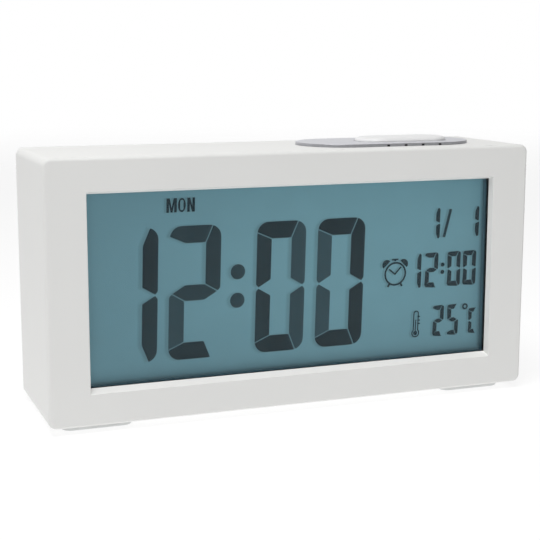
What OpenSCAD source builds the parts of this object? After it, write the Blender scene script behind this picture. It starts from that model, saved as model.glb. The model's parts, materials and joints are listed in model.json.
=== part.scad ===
// Battery-run alarm clock with a wide liquid crystal display.
// Millimetres, +Z up, the display faces -Y. The origin is on the table, under the middle of the case.
// Depths (names that start with d_) are measured from the front face towards the back.

/* [Case] */
// Width of the case
body_w = 146; // [120:1:200]
// Height of the case without its feet
body_h = 73.1; // [72:0.1:110]
// Depth of the case, front face to back edge
body_d = 39.6; // [39:0.1:60]
// Thickness of the top, bottom and side walls
wall = 2.2; // [1.8:0.1:2.7]
// Thickness of the front wall around the display
front_wall = 2; // [1.6:0.1:2.6]
// Radius of the four long edges of the case
corner_r = 2.2; // [1.2:0.1:4]
// Rounding of the edge around the front face
front_edge_r = 1; // [0.4:0.1:1.1]

/* [Display opening] */
// White border left and right of the opening
side_border = 11.5; // [11:0.5:16]
// White border above the opening
top_border = 9.2; // [8:0.1:14]
// White border below the opening
bottom_border = 8.9; // [8:0.1:14]
// Inward slope of the opening's left and right walls
side_bevel = 0.5; // [0:0.1:1]
// Inward slope of the opening's top wall
top_bevel = 0.7; // [0:0.1:1.5]
// Inward slope of the opening's bottom wall
bottom_bevel = 1.35; // [0:0.05:2]

/* [Display stack] */
// Thickness of the clear window
window_t = 1.2; // [0.8:0.1:2]
// How far the window reaches behind the front wall on each side
window_lap = 2; // [1.5:0.1:2.2]
// Thickness of the black gasket frame
gasket_t = 2.3; // [1:0.1:3]
// Gap between the opening's edge and the gasket's inner edge
gasket_reveal = 0.3; // [0.1:0.1:0.6]
// Thickness of each film and of the reflector sheet
film_t = 0.2; // [0.1:0.05:0.3]
// Thickness of each display glass
glass_t = 1.1; // [0.7:0.1:1.5]
// How far the glass reaches past the opening left and right
glass_lap_x = 1.2; // [1:0.1:1.4]
// How far the glass reaches past the opening above and below
glass_lap_z = 2; // [1.6:0.1:2.2]
// Height of the contact ledge below the rear glass
ledge_h = 2.8; // [2.4:0.1:3]
// Thickness of the diffuser sheet
diffuser_t = 0.3; // [0.2:0.05:0.6]
// Thickness of the light guide
guide_t = 3; // [2:0.1:4]
// Side walls of the display frame
frame_wall = 1.3; // [1:0.1:1.5]
// Back plate of the display frame
frame_plate = 1.2; // [1:0.1:2]
// Thickness of the main board
board_t = 1.6; // [1:0.1:1.6]

/* [Top panel and snooze button] */
// Length of the silver panel, left to right
panel_l = 54.6; // [50:0.1:60]
// Width of the panel, front to back
panel_w = 26.4; // [25:0.1:30]
// Height of the panel above the case
panel_proud = 0.85; // [0.6:0.05:1.5]
// How deep the panel sits in the case
panel_seat = 0.7; // [0.5:0.1:1]
// Distance from the right side of the case to the panel's end
panel_margin = 11.4; // [8:0.1:16]
// Distance from the front face to the panel's middle line
panel_depth = 20.3; // [19:0.1:22]
// Number of sound slots in the panel's front edge
slot_count = 4; // [2:1:6]
// Spacing of the sound slots
slot_pitch = 5.65; // [3:0.05:6]
// Length of the snooze button, left to right
button_l = 29.2; // [24:0.1:30]
// Width of the snooze button, front to back
button_w = 13.4; // [12:0.1:14]
// Distance from the panel's middle to the button's middle
button_shift = 6.2; // [0:0.1:6.5]
// Height of the button above the case
button_proud = 2.05; // [1.8:0.05:3]
// Rounding of the button's top edge
button_edge_r = 1; // [0.4:0.1:1.2]
// Travel of the snooze button
button_travel = 0.9; // [0.5:0.1:1.2]

/* [Rear cover and keys] */
// How far the rear cover sits inside the back edge of the case
cover_inset = 1; // [0.8:0.1:2]
// Thickness of the rear cover
cover_t = 2; // [1.8:0.1:2.4]
// Length of a rear key's cap
key_l = 10; // [8:0.5:11]
// Height of a rear key's cap
key_h = 5; // [4:0.5:6]
// Spacing of the rear keys
key_pitch = 18; // [16:0.5:22]
// Distance from the top of the case to the keys' middle line
key_drop = 15.5; // [14:0.5:16]
// Travel of a rear key
key_travel = 0.5; // [0.25:0.05:0.8]
// Travel of the alarm slider
slider_travel = 2; // [1.5:0.1:2.5]
// Distance from the underside of the case to the battery door
door_rise = 5.5; // [5.5:0.5:8]
// Thickness of the battery door
door_t = 1.6; // [1.2:0.1:1.6]

/* [Feet] */
// Length of a foot, left to right
foot_l = 20; // [10:0.5:24]
// Width of a foot, front to back
foot_w = 8; // [6:0.5:12]
// Height of the feet under the case
foot_h = 2.1; // [1.5:0.1:4]
// Distance of a foot from the nearest side and front or back
foot_margin = 4.5; // [3:0.5:8]

/* [Clearances] */
// Gap around pieces that are fixed in a seat
fit = 0.15; // [0.1:0.05:0.2]
// Gap around pieces that move
run = 0.3; // [0.25:0.05:0.4]
// Gap around the plungers in their switches
slip = 0.05; // [0.02:0.01:0.1]

/* [Hidden] */
$fn = 48;
hull_fn = 32;
cut = 0.5; // how far a cutter runs past the face that it opens

// --- case ---
base_z = foot_h;
top_z = foot_h + body_h;
inner_x = body_w / 2 - wall;
floor_z = base_z + wall;
ceiling_z = top_z - wall;

// --- opening and display stack: depths from the front face ---
win_x = body_w / 2 - side_border - side_bevel;
win_z0 = base_z + bottom_border + bottom_bevel;
win_z1 = top_z - top_border - top_bevel;
d_window = front_wall;
d_gasket = d_window + window_t;
d_film = d_gasket + gasket_t;
d_front_glass = d_film + film_t;
d_rear_glass = d_front_glass + glass_t;
d_rear_film = d_rear_glass + glass_t;
d_diffuser = d_rear_film + film_t;
d_guide = d_diffuser + diffuser_t;
d_reflector = d_guide + guide_t;
d_plate = d_reflector + film_t;
d_board = d_plate + frame_plate;
d_parts = d_board + board_t;
pane_x = win_x + window_lap;
pane_z0 = win_z0 - window_lap;
pane_z1 = win_z1 + window_lap;
glass_x = win_x + glass_lap_x;
glass_z0 = win_z0 - glass_lap_z;
glass_z1 = win_z1 + glass_lap_z;
ledge_z0 = glass_z0 - ledge_h;
guide_lap_x = 0.5; // how far the light guide reaches past the opening left and right
guide_lap_z = [0.7, 0.2]; // and below and above it
guide_x = win_x + guide_lap_x;
guide_z0 = win_z0 - guide_lap_z[0];
guide_z1 = win_z1 + guide_lap_z[1];
film_lap = 0.6; // how far the films reach past the opening
frame_x = glass_x + fit + frame_wall;
frame_z0 = ledge_z0 - fit - frame_wall;
frame_z1 = glass_z1 + fit + frame_wall;
locator_wall = 1.1;
locator_gap = 0.2; // between the locating ribs and the display frame
led_size = [3.5, 2.5, 0.9];
led_count = 4;
led_inset = 18; // from the opening's side to the first and last LED's middle
led_board_t = 0.7;
led_board_w = guide_t - 0.2;
led_board_inset = 10;
d_led_board = d_guide + 0.1;
d_led = d_guide + 0.25;
strip_t = 2; // elastomer strip, top to bottom
strip_inset = 5;
strip_x = win_x - strip_inset;
strip_z0 = ledge_z0 + 0.3;

// --- screws: head radius, head height, shank radius, shank length ---
board_screw = [1.9, 1.3, 0.95, 8];
rear_screw = [2.2, 1.4, 1.15, 10];
boss_r = 2.6;
boss_inset = 3.4; // board boss axis to the case's inner side wall
boss_x = inner_x - boss_inset;
boss_rise = 9; // board boss axis to the opening's edge
boss_z = [win_z0 + boss_rise, win_z1 - boss_rise];
ear_h = 7.2;
post_r = 3;
post_inset = 2.6;
post_x = inner_x - post_inset;
post_z = [floor_z + post_inset, ceiling_z - post_inset];
small_boss_r = 2.3;
recess_bottom = 1.4; // plastic left under a sunk screw head

// --- main board ---
board_gap = 0.3;
board_x = frame_x - board_gap;
board_z0 = frame_z0 + board_gap;
board_z1 = frame_z1 - board_gap;

// --- top panel and snooze button ---
panel_x = body_w / 2 - panel_margin - panel_l / 2;
panel_t = panel_seat + panel_proud;
panel_edge_r = 0.45;
panel_z = top_z - panel_seat;
pin_r = 0.8;
pin_depth = wall - panel_seat;
pin_angle = 65; // of the right pin, around the panel's round end
pin_inset = 7.5; // of the left pin, from the panel's end
button_x = panel_x + button_shift;
button_z1 = top_z + button_proud;
button_wall = 1.5;
flange_lap = 1.5; // how far the button's flange reaches under the panel
flange_t = 1.2;
flange_l = button_l + 2 * flange_lap;
flange_w = button_w + 2 * flange_lap;
flange_gap = 0.1; // between the flange at rest and the panel
flange_z1 = panel_z - flange_gap;
skirt_z0 = flange_z1 - flange_t;
well_l = flange_l + 2 * run;
well_w = flange_w + 2 * run;
slot_shift = -1.9; // of the row of sound slots from the button's middle
slot_w = 0.8;
slot_h = 0.5; // of a sound slot above the case's top
dome_h = 3.3;
dome_r = 4;
stem_r = 1.8;
snooze_board_t = 1.2;
snooze_board_w = 9;
snooze_board_z1 = ceiling_z - 6.7;
snooze_dome_z1 = snooze_board_z1 + dome_h;
snooze_boss_gap = 1; // between the button well and the snooze bosses
snooze_boss_dx = well_l / 2 + small_boss_r + snooze_boss_gap;
ribbon_t = 0.8;
snooze_screw = [1.7, 1.1, 0.75, 5];

// --- rear cover: depths from the front face ---
d_cover_out = body_d - cover_inset;
d_cover_in = d_cover_out - cover_t;
pad_t = 1; // extra thickness around the battery opening and the screws
d_pad = d_cover_in - pad_t;
cover_x = inner_x - fit;
cover_z0 = floor_z + fit;
cover_z1 = ceiling_z - fit;

// --- batteries: AAA cells lying left to right ---
cell_r = 5.25;
cell_l = 44.5;
nub_r = 1.9;
nub_l = 0.8;
cell_pitch = 11.3;
cell_gap = 0.6;
plate_t = 0.4;
spring_l = 5;
spring_turns = 4;
spring_wire = 0.3;
bay_wall = 1.5;
bay_x = (cell_l + spring_l) / 2 + plate_t;
door_lap = 2; // width of the ledge that the door rests on
door_gap = 0.2;
door_z0 = base_z + door_rise;
bay_z0 = door_z0 + door_lap;
bay_h = 2 * cell_pitch + 2 * cell_r + 2 * cell_gap;
bay_z1 = bay_z0 + bay_h;
door_z1 = bay_z1 + door_lap;
door_x = bay_x + door_lap;
d_door = d_cover_out - door_t;
floor_gap = 0.4; // between the cells and the bay's floor
d_bay_floor = d_door - cell_gap - 2 * cell_r - floor_gap;
cell_depth = d_door - cell_gap - cell_r;
cell_z = [for (i = [0:2]) bay_z0 + cell_gap + cell_r + i * cell_pitch];
hinge_r = 1.3; // round lower edge of the door
hinge_gap = 0.2; // between that edge and its groove
hinge_wall = 1; // plastic behind the groove
hinge_reach = 3; // how far the rail around the hinge reaches past the door's ends
hinge_pin = [0.7, 1.5]; // radius and length
d_hinge = d_cover_out - hinge_r;
hinge_z = door_z0 + hinge_r;
latch_w = 12;
latch_h = 8;
latch_slit = 0.6;
grip_w = 0.7; // grip grooves on the latch
grip_pitch = 1.4;
grip_deep = 0.4;
thumb_l = latch_w + 4;
thumb_w = 7;
thumb_deep = 1.1;
contact_half = 4.2; // half the side of a contact plate
tail_w = 3;
tail_out = 1.4; // how far a tail stands out in front of the bay
d_tail = d_bay_floor - bay_wall - tail_out;

// --- keys, their switches and the alarm slider ---
key_z = top_z - key_drop;
key_x = [for (i = [0:3]) (i - 1.5) * key_pitch];
key_proud = 0.6;
key_edge_r = 0.4;
key_flange = 1.1;
key_flange_t = 1;
key_rest = 0.2; // between a key's flange at rest and the cover
d_key_flange = d_cover_in - key_rest - key_flange_t;
plunger_r = 1.7;
plunger_l = 1.5;
plunger_sunk = 0.4;
switch_size = 6;
switch_h = 3.5;
d_switch = d_key_flange - plunger_l - switch_h;
key_board_t = 1.2;
d_key_board = d_switch - key_board_t;
key_board_h = 13;
key_board_screw = [1.7, 1.1, 0.75, 5];
slider_after = 23; // from the last key to the middle of the slider's slot
slider_x = key_x[3] + slider_after;
slider_size = [6, 4];
slider_proud = 0.3;
slider_lever = 1.8;
slide_corner_r = 0.5;
lever_sunk = 0.7;
lever_floor = 0.2; // under the lever in its slot
slider_head_gap = 0.7; // between the switch and the slider's head
slide_switch = [8.6, 4.4];
key_board_reach = [14, 7]; // past the first key's middle and the slider's middle
key_board_x0 = key_x[0] - key_board_reach[0];
key_board_x1 = slider_x + key_board_reach[1];
key_boss_reach = [10, 12]; // outer screws, from the first and the last key's middle
key_boss_x = [key_x[0] - key_boss_reach[0], 0, key_x[3] + key_boss_reach[1]];
vent_inset = 9; // from the main board's left edge to the vents' middle
vent_x = -board_x + vent_inset;
vent_rise = 18;
vent_z = base_z + vent_rise;
vent_count = 5;
vent_pitch = 3;
vent_l = 12;
vent_w = 1.2;

// --- feet ---
foot_r = 2.8;
foot_edge_r = 0.6;
foot_seat = 0.4;

// --- helpers ---
function at(depth) = -body_d / 2 + depth;

// A flat shape in the X-Z plane, made solid between two depths.
module between(d0, d1) {
    translate([0, at(d1), 0]) rotate([90, 0, 0]) linear_extrude(d1 - d0) children();
}

// A block from two corners, with depths in place of y.
module block(x0, x1, d0, d1, z0, z1) {
    translate([x0, at(d0), z0]) cube([x1 - x0, d1 - d0, z1 - z0]);
}

// A rectangle from two corners.
module area(x0, x1, z0, z1) {
    translate([x0, z0]) square([x1 - x0, z1 - z0]);
}

// A centred rectangle with round corners.
module round_rect(l, w, r) {
    square([l - 2 * r, w], center = true);
    square([l, w - 2 * r], center = true);
    for (x = [-1, 1], y = [-1, 1]) translate([x * (l / 2 - r), y * (w / 2 - r)]) circle(r);
}

// A centred stadium, round at both ends.
module stadium(l, w) {
    square([l - w, w], center = true);
    for (x = [-1, 1]) translate([x * (l - w) / 2, 0]) circle(w / 2);
}

// A plate on z = 0 with round corners and a rounded top edge, as one smooth shell.
module soft_plate(l, w, h, r, edge_r) {
    hull() {
        linear_extrude(h - edge_r) round_rect(l, w, r, $fn = hull_fn);
        for (a = [18:18:90]) {
            inset = edge_r * (1 - cos(a));
            linear_extrude(h - edge_r + edge_r * sin(a))
                round_rect(l - 2 * inset, w - 2 * inset, max(r - inset, 0.1), $fn = hull_fn);
        }
    }
}

// A hole or rod along the depth.
module rod(x, z, r, d0, d1) {
    translate([x, at(d0), z]) rotate([-90, 0, 0]) cylinder(r = r, h = d1 - d0);
}

// A pan-head screw with a cross recess; the head's underside is at z = 0 and the shank points to -Z.
module screw(size) {
    head_r = size[0];
    head_h = size[1];
    blade = head_r * 0.28;
    difference() {
        union() {
            translate([0, 0, -size[3]]) cylinder(r = size[2], h = size[3]);
            cylinder(r = head_r, h = head_h * 0.6);
            translate([0, 0, head_h * 0.6]) cylinder(r1 = head_r, r2 = head_r * 0.75, h = head_h * 0.4);
        }
        for (a = [0, 90]) rotate(a)
            translate([-head_r * 0.6, -blade / 2, head_h * 0.45]) cube([head_r * 1.2, blade, head_h]);
    }
}

// A screw whose head's underside is at a depth and whose shank points to the front.
module front_screw(x, z, size, depth) {
    translate([x, at(depth), z]) rotate([-90, 0, 0]) screw(size);
}

// A round tube swept along points; its rings are square to the path.
module tube(path, r, sides) {
    n = len(path);
    rings = [for (i = [0:n - 1])
        let (step = path[min(i + 1, n - 1)] - path[max(i - 1, 0)])
        let (along = step / norm(step))
        let (ref = abs(along[2]) > 0.9 ? [1, 0, 0] : [0, 0, 1])
        let (side = cross(along, ref) / norm(cross(along, ref)))
        let (up = cross(side, along))
        for (j = [0:sides - 1]) path[i] + r * (cos(360 * j / sides) * side + sin(360 * j / sides) * up)];
    skin = [for (i = [0:n - 2], j = [0:sides - 1])
        let (k = (j + 1) % sides)
        [i * sides + j, (i + 1) * sides + j, (i + 1) * sides + k, i * sides + k]];
    start_cap = [[for (j = [0:sides - 1]) j]];
    end_cap = [[for (j = [sides - 1:-1:0]) (n - 1) * sides + j]];
    polyhedron(points = rings, faces = concat(skin, start_cap, end_cap), convexity = 6);
}

// A flat ribbon cable that runs between two depths and two heights in a soft S.
module s_ribbon(x, width, t, d0, z0, d1, z1) {
    steps = 16;
    line = [for (i = [0:steps])
        let (ease = (1 - cos(180 * i / steps)) / 2)
        [at(d0 + (d1 - d0) * i / steps), z0 + (z1 - z0) * ease]];
    upper = [for (p = line) p + [0, t / 2]];
    lower = [for (i = [steps:-1:0]) line[i] - [0, t / 2]];
    translate([x - width / 2, 0, 0]) rotate([90, 0, 90]) linear_extrude(width) polygon(concat(upper, lower));
}

// --- case ---

// The opening in the front wall: wider at the front face than at the window.
module opening_cut() {
    far = front_wall + cut;
    slope_s = side_bevel / front_wall;
    slope_t = top_bevel / front_wall;
    slope_b = bottom_bevel / front_wall;
    intersection() {
        translate([-body_w / 2, 0, 0]) rotate([90, 0, 90]) linear_extrude(body_w) polygon([
            [at(-cut), win_z0 - slope_b * (front_wall + cut)], [at(front_wall), win_z0],
            [at(far), win_z0], [at(far), win_z1], [at(front_wall), win_z1],
            [at(-cut), win_z1 + slope_t * (front_wall + cut)]
        ]);
        linear_extrude(top_z) polygon([
            [-win_x - slope_s * (front_wall + cut), at(-cut)], [-win_x, at(front_wall)],
            [-win_x, at(far)], [win_x, at(far)], [win_x, at(front_wall)],
            [win_x + slope_s * (front_wall + cut), at(-cut)]
        ]);
    }
}

// Rib loop that locates the window and the gasket behind the front wall.
module window_locator() {
    between(front_wall - cut, d_film - locator_gap) difference() {
        area(-pane_x - fit - locator_wall, pane_x + fit + locator_wall,
             pane_z0 - fit - locator_wall, pane_z1 + fit + locator_wall);
        area(-pane_x - fit, pane_x + fit, pane_z0 - fit, pane_z1 + fit);
    }
}

// Seat, button well and pin holes in the top wall.
module panel_cuts() {
    translate([panel_x, at(panel_depth), panel_z])
        linear_extrude(panel_seat + cut) stadium(panel_l + 2 * fit, panel_w + 2 * fit);
    translate([button_x, at(panel_depth), ceiling_z - cut])
        linear_extrude(wall + cut) stadium(well_l, well_w);
    panel_pins(pin_r + fit, pin_depth + cut);
}

// Two locating pins under the panel, or their holes.
module panel_pins(r, length) {
    ring_r = (panel_w + well_w) / 4;
    end_x = panel_x + (panel_l - panel_w) / 2;
    places = [[panel_x - panel_l / 2 + pin_inset, 0],
              [end_x + ring_r * cos(pin_angle), ring_r * sin(pin_angle)]];
    for (p = places) translate([p[0], at(panel_depth) + p[1], panel_z - length])
        cylinder(r = r, h = length + panel_proud / 2);
}

module front_case() {
    color("#f2f2f1") difference() {
        union() {
            difference() {
                translate([0, at(body_d), base_z + body_h / 2]) rotate([90, 0, 0])
                    soft_plate(body_w, body_h, body_d, corner_r, front_edge_r);
                block(-inner_x, inner_x, front_wall, body_d + cut, floor_z, ceiling_z);
            }
            window_locator();
            for (x = [-boss_x, boss_x], z = boss_z) rod(x, z, boss_r, front_wall - cut, d_plate);
            for (x = [-post_x, post_x], z = post_z) rod(x, z, post_r, front_wall - cut, d_pad);
            for (s = [-1, 1]) translate([button_x + s * snooze_boss_dx, at(panel_depth), snooze_board_z1])
                cylinder(r = small_boss_r, h = ceiling_z - snooze_board_z1 + cut);
        }
        opening_cut();
        panel_cuts();
        foot_seats();
        for (x = [-boss_x, boss_x], z = boss_z)
            rod(x, z, board_screw[2] + slip, d_plate - board_screw[3], d_plate + cut);
        for (x = [-post_x, post_x], z = post_z)
            rod(x, z, rear_screw[2] + slip, d_pad - rear_screw[3], d_pad + cut);
        for (s = [-1, 1]) translate([button_x + s * snooze_boss_dx, at(panel_depth), snooze_board_z1 - cut])
            cylinder(r = snooze_screw[2] + slip, h = snooze_screw[3] + cut);
    }
}

// --- display ---

module display_window() {
    color("#c9dde2", 0.4) between(d_window, d_window + window_t)
        translate([0, (pane_z0 + pane_z1) / 2]) round_rect(2 * pane_x, pane_z1 - pane_z0, 1);
}

module window_gasket() {
    color("#1d2525") between(d_gasket, d_film) difference() {
        area(-pane_x, pane_x, pane_z0, pane_z1);
        area(-win_x - gasket_reveal, win_x + gasket_reveal, win_z0 - gasket_reveal, win_z1 + gasket_reveal);
    }
}

module film(depth, thickness) {
    between(depth, depth + thickness)
        area(-win_x - film_lap, win_x + film_lap, win_z0 - film_lap, win_z1 + film_lap);
}

module front_polarizer() {
    color("#607d88") film(d_film, film_t);
}

module lcd_front_glass() {
    color("#a9c0c4") between(d_front_glass, d_rear_glass) area(-glass_x, glass_x, ledge_z0, glass_z1);
}

module lcd_rear_glass() {
    color("#9fb8bd") between(d_rear_glass, d_rear_film) area(-glass_x, glass_x, glass_z0, glass_z1);
}

module rear_polarizer() {
    color("#6f8890") film(d_rear_film, film_t);
}

module diffuser_sheet() {
    color("#f4f6f7") film(d_diffuser, diffuser_t);
}

module light_guide() {
    color("#dfeef2") between(d_guide, d_reflector) area(-guide_x, guide_x, guide_z0, guide_z1);
}

module reflector_sheet() {
    color("#fafafa") between(d_reflector, d_plate) area(-guide_x, guide_x, guide_z0, guide_z1);
}

module frame_ears() {
    for (z = boss_z) area(-boss_x - boss_r, boss_x + boss_r, z - ear_h / 2, z + ear_h / 2);
}

// Holder for the whole display stack, with the elastomer strip in its own chamber.
module lcd_frame() {
    color("#e8e9e6") difference() {
        union() {
            between(d_film, d_board) area(-frame_x, frame_x, frame_z0, frame_z1);
            between(d_plate, d_board) frame_ears();
        }
        between(d_film - cut, d_diffuser) area(-glass_x - fit, glass_x + fit, ledge_z0 - fit, glass_z1 + fit);
        between(d_film, d_plate) area(-guide_x - fit, guide_x + fit, guide_z0 - fit, glass_z1 + fit);
        between(d_film, d_board + cut)
            area(-strip_x - fit, strip_x + fit, strip_z0 - fit, strip_z0 + strip_t + fit);
        for (x = [-boss_x, boss_x], z = boss_z) rod(x, z, board_screw[2] + fit, d_plate - cut, d_board + cut);
    }
}

module backlight_board() {
    z0 = guide_z1 + fit + led_size[2];
    x = win_x - led_board_inset;
    color("#e9ead8") block(-x, x, d_led_board, d_led_board + led_board_w, z0, z0 + led_board_t);
}

module backlight_leds() {
    x_end = win_x - led_inset;
    half = led_size[0] / 2;
    z0 = guide_z1 + fit;
    color("#f7f0b8") for (i = [0:led_count - 1]) {
        x = -x_end + i * 2 * x_end / (led_count - 1);
        block(x - half, x + half, d_led, d_led + led_size[1], z0, z0 + led_size[2]);
    }
}

module elastomer_connector() {
    color("#d98b86") between(d_rear_glass, d_board) area(-strip_x, strip_x, strip_z0, strip_z0 + strip_t);
}

// --- main board and what is on it ---

module main_board() {
    color("#2f7d4f") difference() {
        between(d_board, d_parts) {
            area(-board_x, board_x, board_z0, board_z1);
            frame_ears();
        }
        for (x = [-boss_x, boss_x], z = boss_z) rod(x, z, board_screw[2] + fit, d_board - cut, d_parts + cut);
    }
}

module board_screws() {
    color("#b9bcc0") for (x = [-boss_x, boss_x], z = boss_z) front_screw(x, z, board_screw, d_parts);
}

// Epoxy drop over the bonded clock chip.
module clock_chip() {
    drop_r = 7;
    drop_h = 2;
    ball_r = (drop_r * drop_r + drop_h * drop_h) / (2 * drop_h);
    color("#141414") intersection() {
        translate([0, at(d_parts + drop_h - ball_r), (board_z0 + board_z1) / 2]) sphere(ball_r, $fn = 96);
        block(-drop_r - 1, drop_r + 1, d_parts, d_parts + drop_h + 1, board_z0, board_z1);
    }
}

module chip_resistors() {
    size = [1.6, 0.6, 0.8];
    first = [14, 26]; // from the board's middle and its lower edge
    pitch = [4, 5];
    color("#22262b") for (i = [0:3], j = [0:1])
        translate([first[0] + pitch[0] * i, at(d_parts), board_z0 + first[1] + pitch[1] * j]) cube(size);
}

module quartz_crystal() {
    place = [-18, 34]; // from the board's middle and its lower edge
    stand_off = 1;
    can = [1.5, 6.2]; // radius and length
    lead_x = 0.55;
    color("#c4c7c9") translate([place[0], at(d_parts), board_z0 + place[1]]) rotate([-90, 0, 0]) {
        for (x = [-lead_x, lead_x]) translate([x, 0, 0]) cylinder(r = 0.2, h = stand_off + 0.1);
        translate([0, 0, stand_off]) cylinder(r = can[0], h = can[1]);
    }
}

module capacitor() {
    can_r = 3.15;
    inset = [16, 14]; // from the board's left and upper edges
    color("#2a3550") translate([-board_x + inset[0], at(d_parts), board_z1 - inset[1]]) rotate([-90, 0, 0])
        rotate_extrude() polygon([[0, 0], [can_r, 0], [can_r, 0.8], [can_r - 0.35, 1.2], [can_r, 1.6],
                                  [can_r, 7.2], [can_r - 0.4, 7.7], [0, 7.7]]);
}

module buzzer() {
    r = 6;
    h = 8;
    hole = [1, 1.5]; // radius and depth
    inset = [9, 18]; // from the board's right and upper edges
    color("#1b1b1c") translate([board_x - inset[0], at(d_parts), board_z1 - inset[1]]) rotate([-90, 0, 0])
        difference() {
            cylinder(r = r, h = h);
            translate([0, 0, h - hole[1]]) cylinder(r = hole[0], h = hole[1] + cut);
        }
}

// Thermistor bead on two stiff leads, held up behind the vents.
module temperature_sensor() {
    lead_l = 8;
    lead_x = 0.7;
    bead_r = 1.5;
    color("#3a2a1e") translate([vent_x, at(d_parts), vent_z]) rotate([-90, 0, 0]) {
        for (x = [-lead_x, lead_x]) translate([x, 0, 0]) cylinder(r = 0.25, h = lead_l);
        translate([0, 0, lead_l]) sphere(bead_r);
    }
}

// --- top panel and snooze button ---

module top_panel() {
    front = at(panel_depth) - panel_w / 2;
    color("#b4b4ba") difference() {
        union() {
            translate([panel_x, at(panel_depth), panel_z])
                soft_plate(panel_l, panel_w, panel_t, panel_w / 2 - 0.01, panel_edge_r);
            panel_pins(pin_r, pin_depth);
        }
        translate([button_x, at(panel_depth), panel_z - cut])
            linear_extrude(panel_t + 2 * cut) stadium(button_l + 2 * run, button_w + 2 * run);
        for (i = [0:slot_count - 1]) {
            x = button_x + slot_shift + (i - (slot_count - 1) / 2) * slot_pitch;
            translate([x - slot_w / 2, front - cut, panel_z - cut])
                cube([slot_w, (panel_w - well_w) / 2 + 1 + cut, panel_seat + slot_h + cut]);
        }
    }
}

module snooze_button() {
    color("#f4f4f4") difference() {
        translate([button_x, at(panel_depth), 0]) {
            translate([0, 0, skirt_z0])
                soft_plate(button_l, button_w, button_z1 - skirt_z0, button_w / 2 - 0.01, button_edge_r);
            translate([0, 0, skirt_z0]) linear_extrude(flange_t) stadium(flange_l, flange_w);
        }
        difference() {
            translate([button_x, at(panel_depth), skirt_z0 - cut])
                linear_extrude(button_z1 - skirt_z0 - button_wall + cut)
                    stadium(button_l - 2 * button_wall, button_w - 2 * button_wall);
            translate([button_x, at(panel_depth), 0]) cylinder(r = stem_r, h = button_z1);
        }
    }
    color("#f4f4f4") translate([button_x, at(panel_depth), snooze_dome_z1])
        cylinder(r = stem_r, h = skirt_z0 - snooze_dome_z1 + cut);
}

// Hollow silicone dome: a cone wall with a flat crown that the stem presses.
module snooze_dome() {
    skin = 0.6;
    crown_r = stem_r + 0.2;
    crown_h = 1.4;
    color("#9a9ca0") translate([button_x, at(panel_depth), snooze_board_z1]) rotate_extrude() polygon([
        [dome_r - 1.6, 0], [dome_r + 0.8, 0], [dome_r + 0.8, skin], [dome_r - 0.3, skin],
        [crown_r, dome_h - 1], [crown_r, dome_h], [0, dome_h], [0, dome_h - crown_h],
        [crown_r - skin, dome_h - crown_h]
    ]);
}

module snooze_board() {
    margin = 0.5; // past the bosses
    reach = snooze_boss_dx + small_boss_r + margin;
    color("#2f7d4f") difference() {
        translate([button_x - reach, at(panel_depth) - snooze_board_w / 2, snooze_board_z1 - snooze_board_t])
            cube([2 * reach, snooze_board_w, snooze_board_t]);
        for (s = [-1, 1]) translate([button_x + s * snooze_boss_dx, at(panel_depth), 0])
            cylinder(r = snooze_screw[2] + fit, h = top_z);
    }
}

module snooze_screws() {
    color("#b9bcc0") for (s = [-1, 1])
        translate([button_x + s * snooze_boss_dx, at(panel_depth), snooze_board_z1 - snooze_board_t])
            rotate([180, 0, 0]) screw(snooze_screw);
}

// Ribbon from the snooze board down and forward to the main board, a quarter of an ellipse.
module snooze_ribbon() {
    width = 6;
    drop = 6;
    aside = 12; // from the dome's middle to the ribbon's left edge
    step = 7.5;
    reach = panel_depth - d_parts;
    z0 = snooze_board_z1 - snooze_board_t;
    outer = [for (a = [0:step:90])
        [at(d_parts) + (reach + ribbon_t / 2) * cos(a), z0 - (drop + ribbon_t / 2) * sin(a)]];
    inner = [for (a = [90:-step:0])
        [at(d_parts) + (reach - ribbon_t / 2) * cos(a), z0 - (drop - ribbon_t / 2) * sin(a)]];
    color("#cfd2d6") translate([button_x - aside, 0, 0]) rotate([90, 0, 90])
        linear_extrude(width) polygon(concat(outer, inner));
}

// --- rear cover ---

// A round bar along the door's hinge line.
module hinge_bar(r, half) {
    translate([-half, at(d_hinge), hinge_z]) rotate([0, 90, 0]) cylinder(r = r, h = 2 * half);
}

// Thick stretch of the cover around the hinge.
module hinge_rail() {
    half = door_x + hinge_reach;
    block(-half, half, d_hinge - hinge_r - hinge_gap - hinge_wall, d_cover_out,
          door_z0 - bay_wall, bay_z0 + bay_wall);
}

module door_opening() {
    block(-door_x - door_gap, door_x + door_gap, d_door, d_cover_out + cut,
          door_z0 - door_gap, door_z1 + door_gap);
    block(-bay_x, bay_x, d_bay_floor, d_door + cut, bay_z0, bay_z1);
    hinge_bar(hinge_r + hinge_gap, door_x + door_gap);
    hinge_bar(hinge_pin[0] + slip, door_x + hinge_pin[1] + run);
    // hollow for a fingertip above the latch
    between(d_cover_out - thumb_deep, d_cover_out + cut) translate([0, door_z1]) stadium(thumb_l, thumb_w);
}

// Slots in the bay's floor for the two contact tails.
module tail_slots() {
    for (s = [-1, 1]) {
        z = cell_z[s < 0 ? 0 : 2];
        x = s * (bay_x - plate_t / 2);
        block(x - plate_t / 2 - fit, x + plate_t / 2 + fit, d_bay_floor - bay_wall - cut, d_bay_floor + cut,
              z - tail_w / 2 - fit, z + tail_w / 2 + fit);
    }
}

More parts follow.
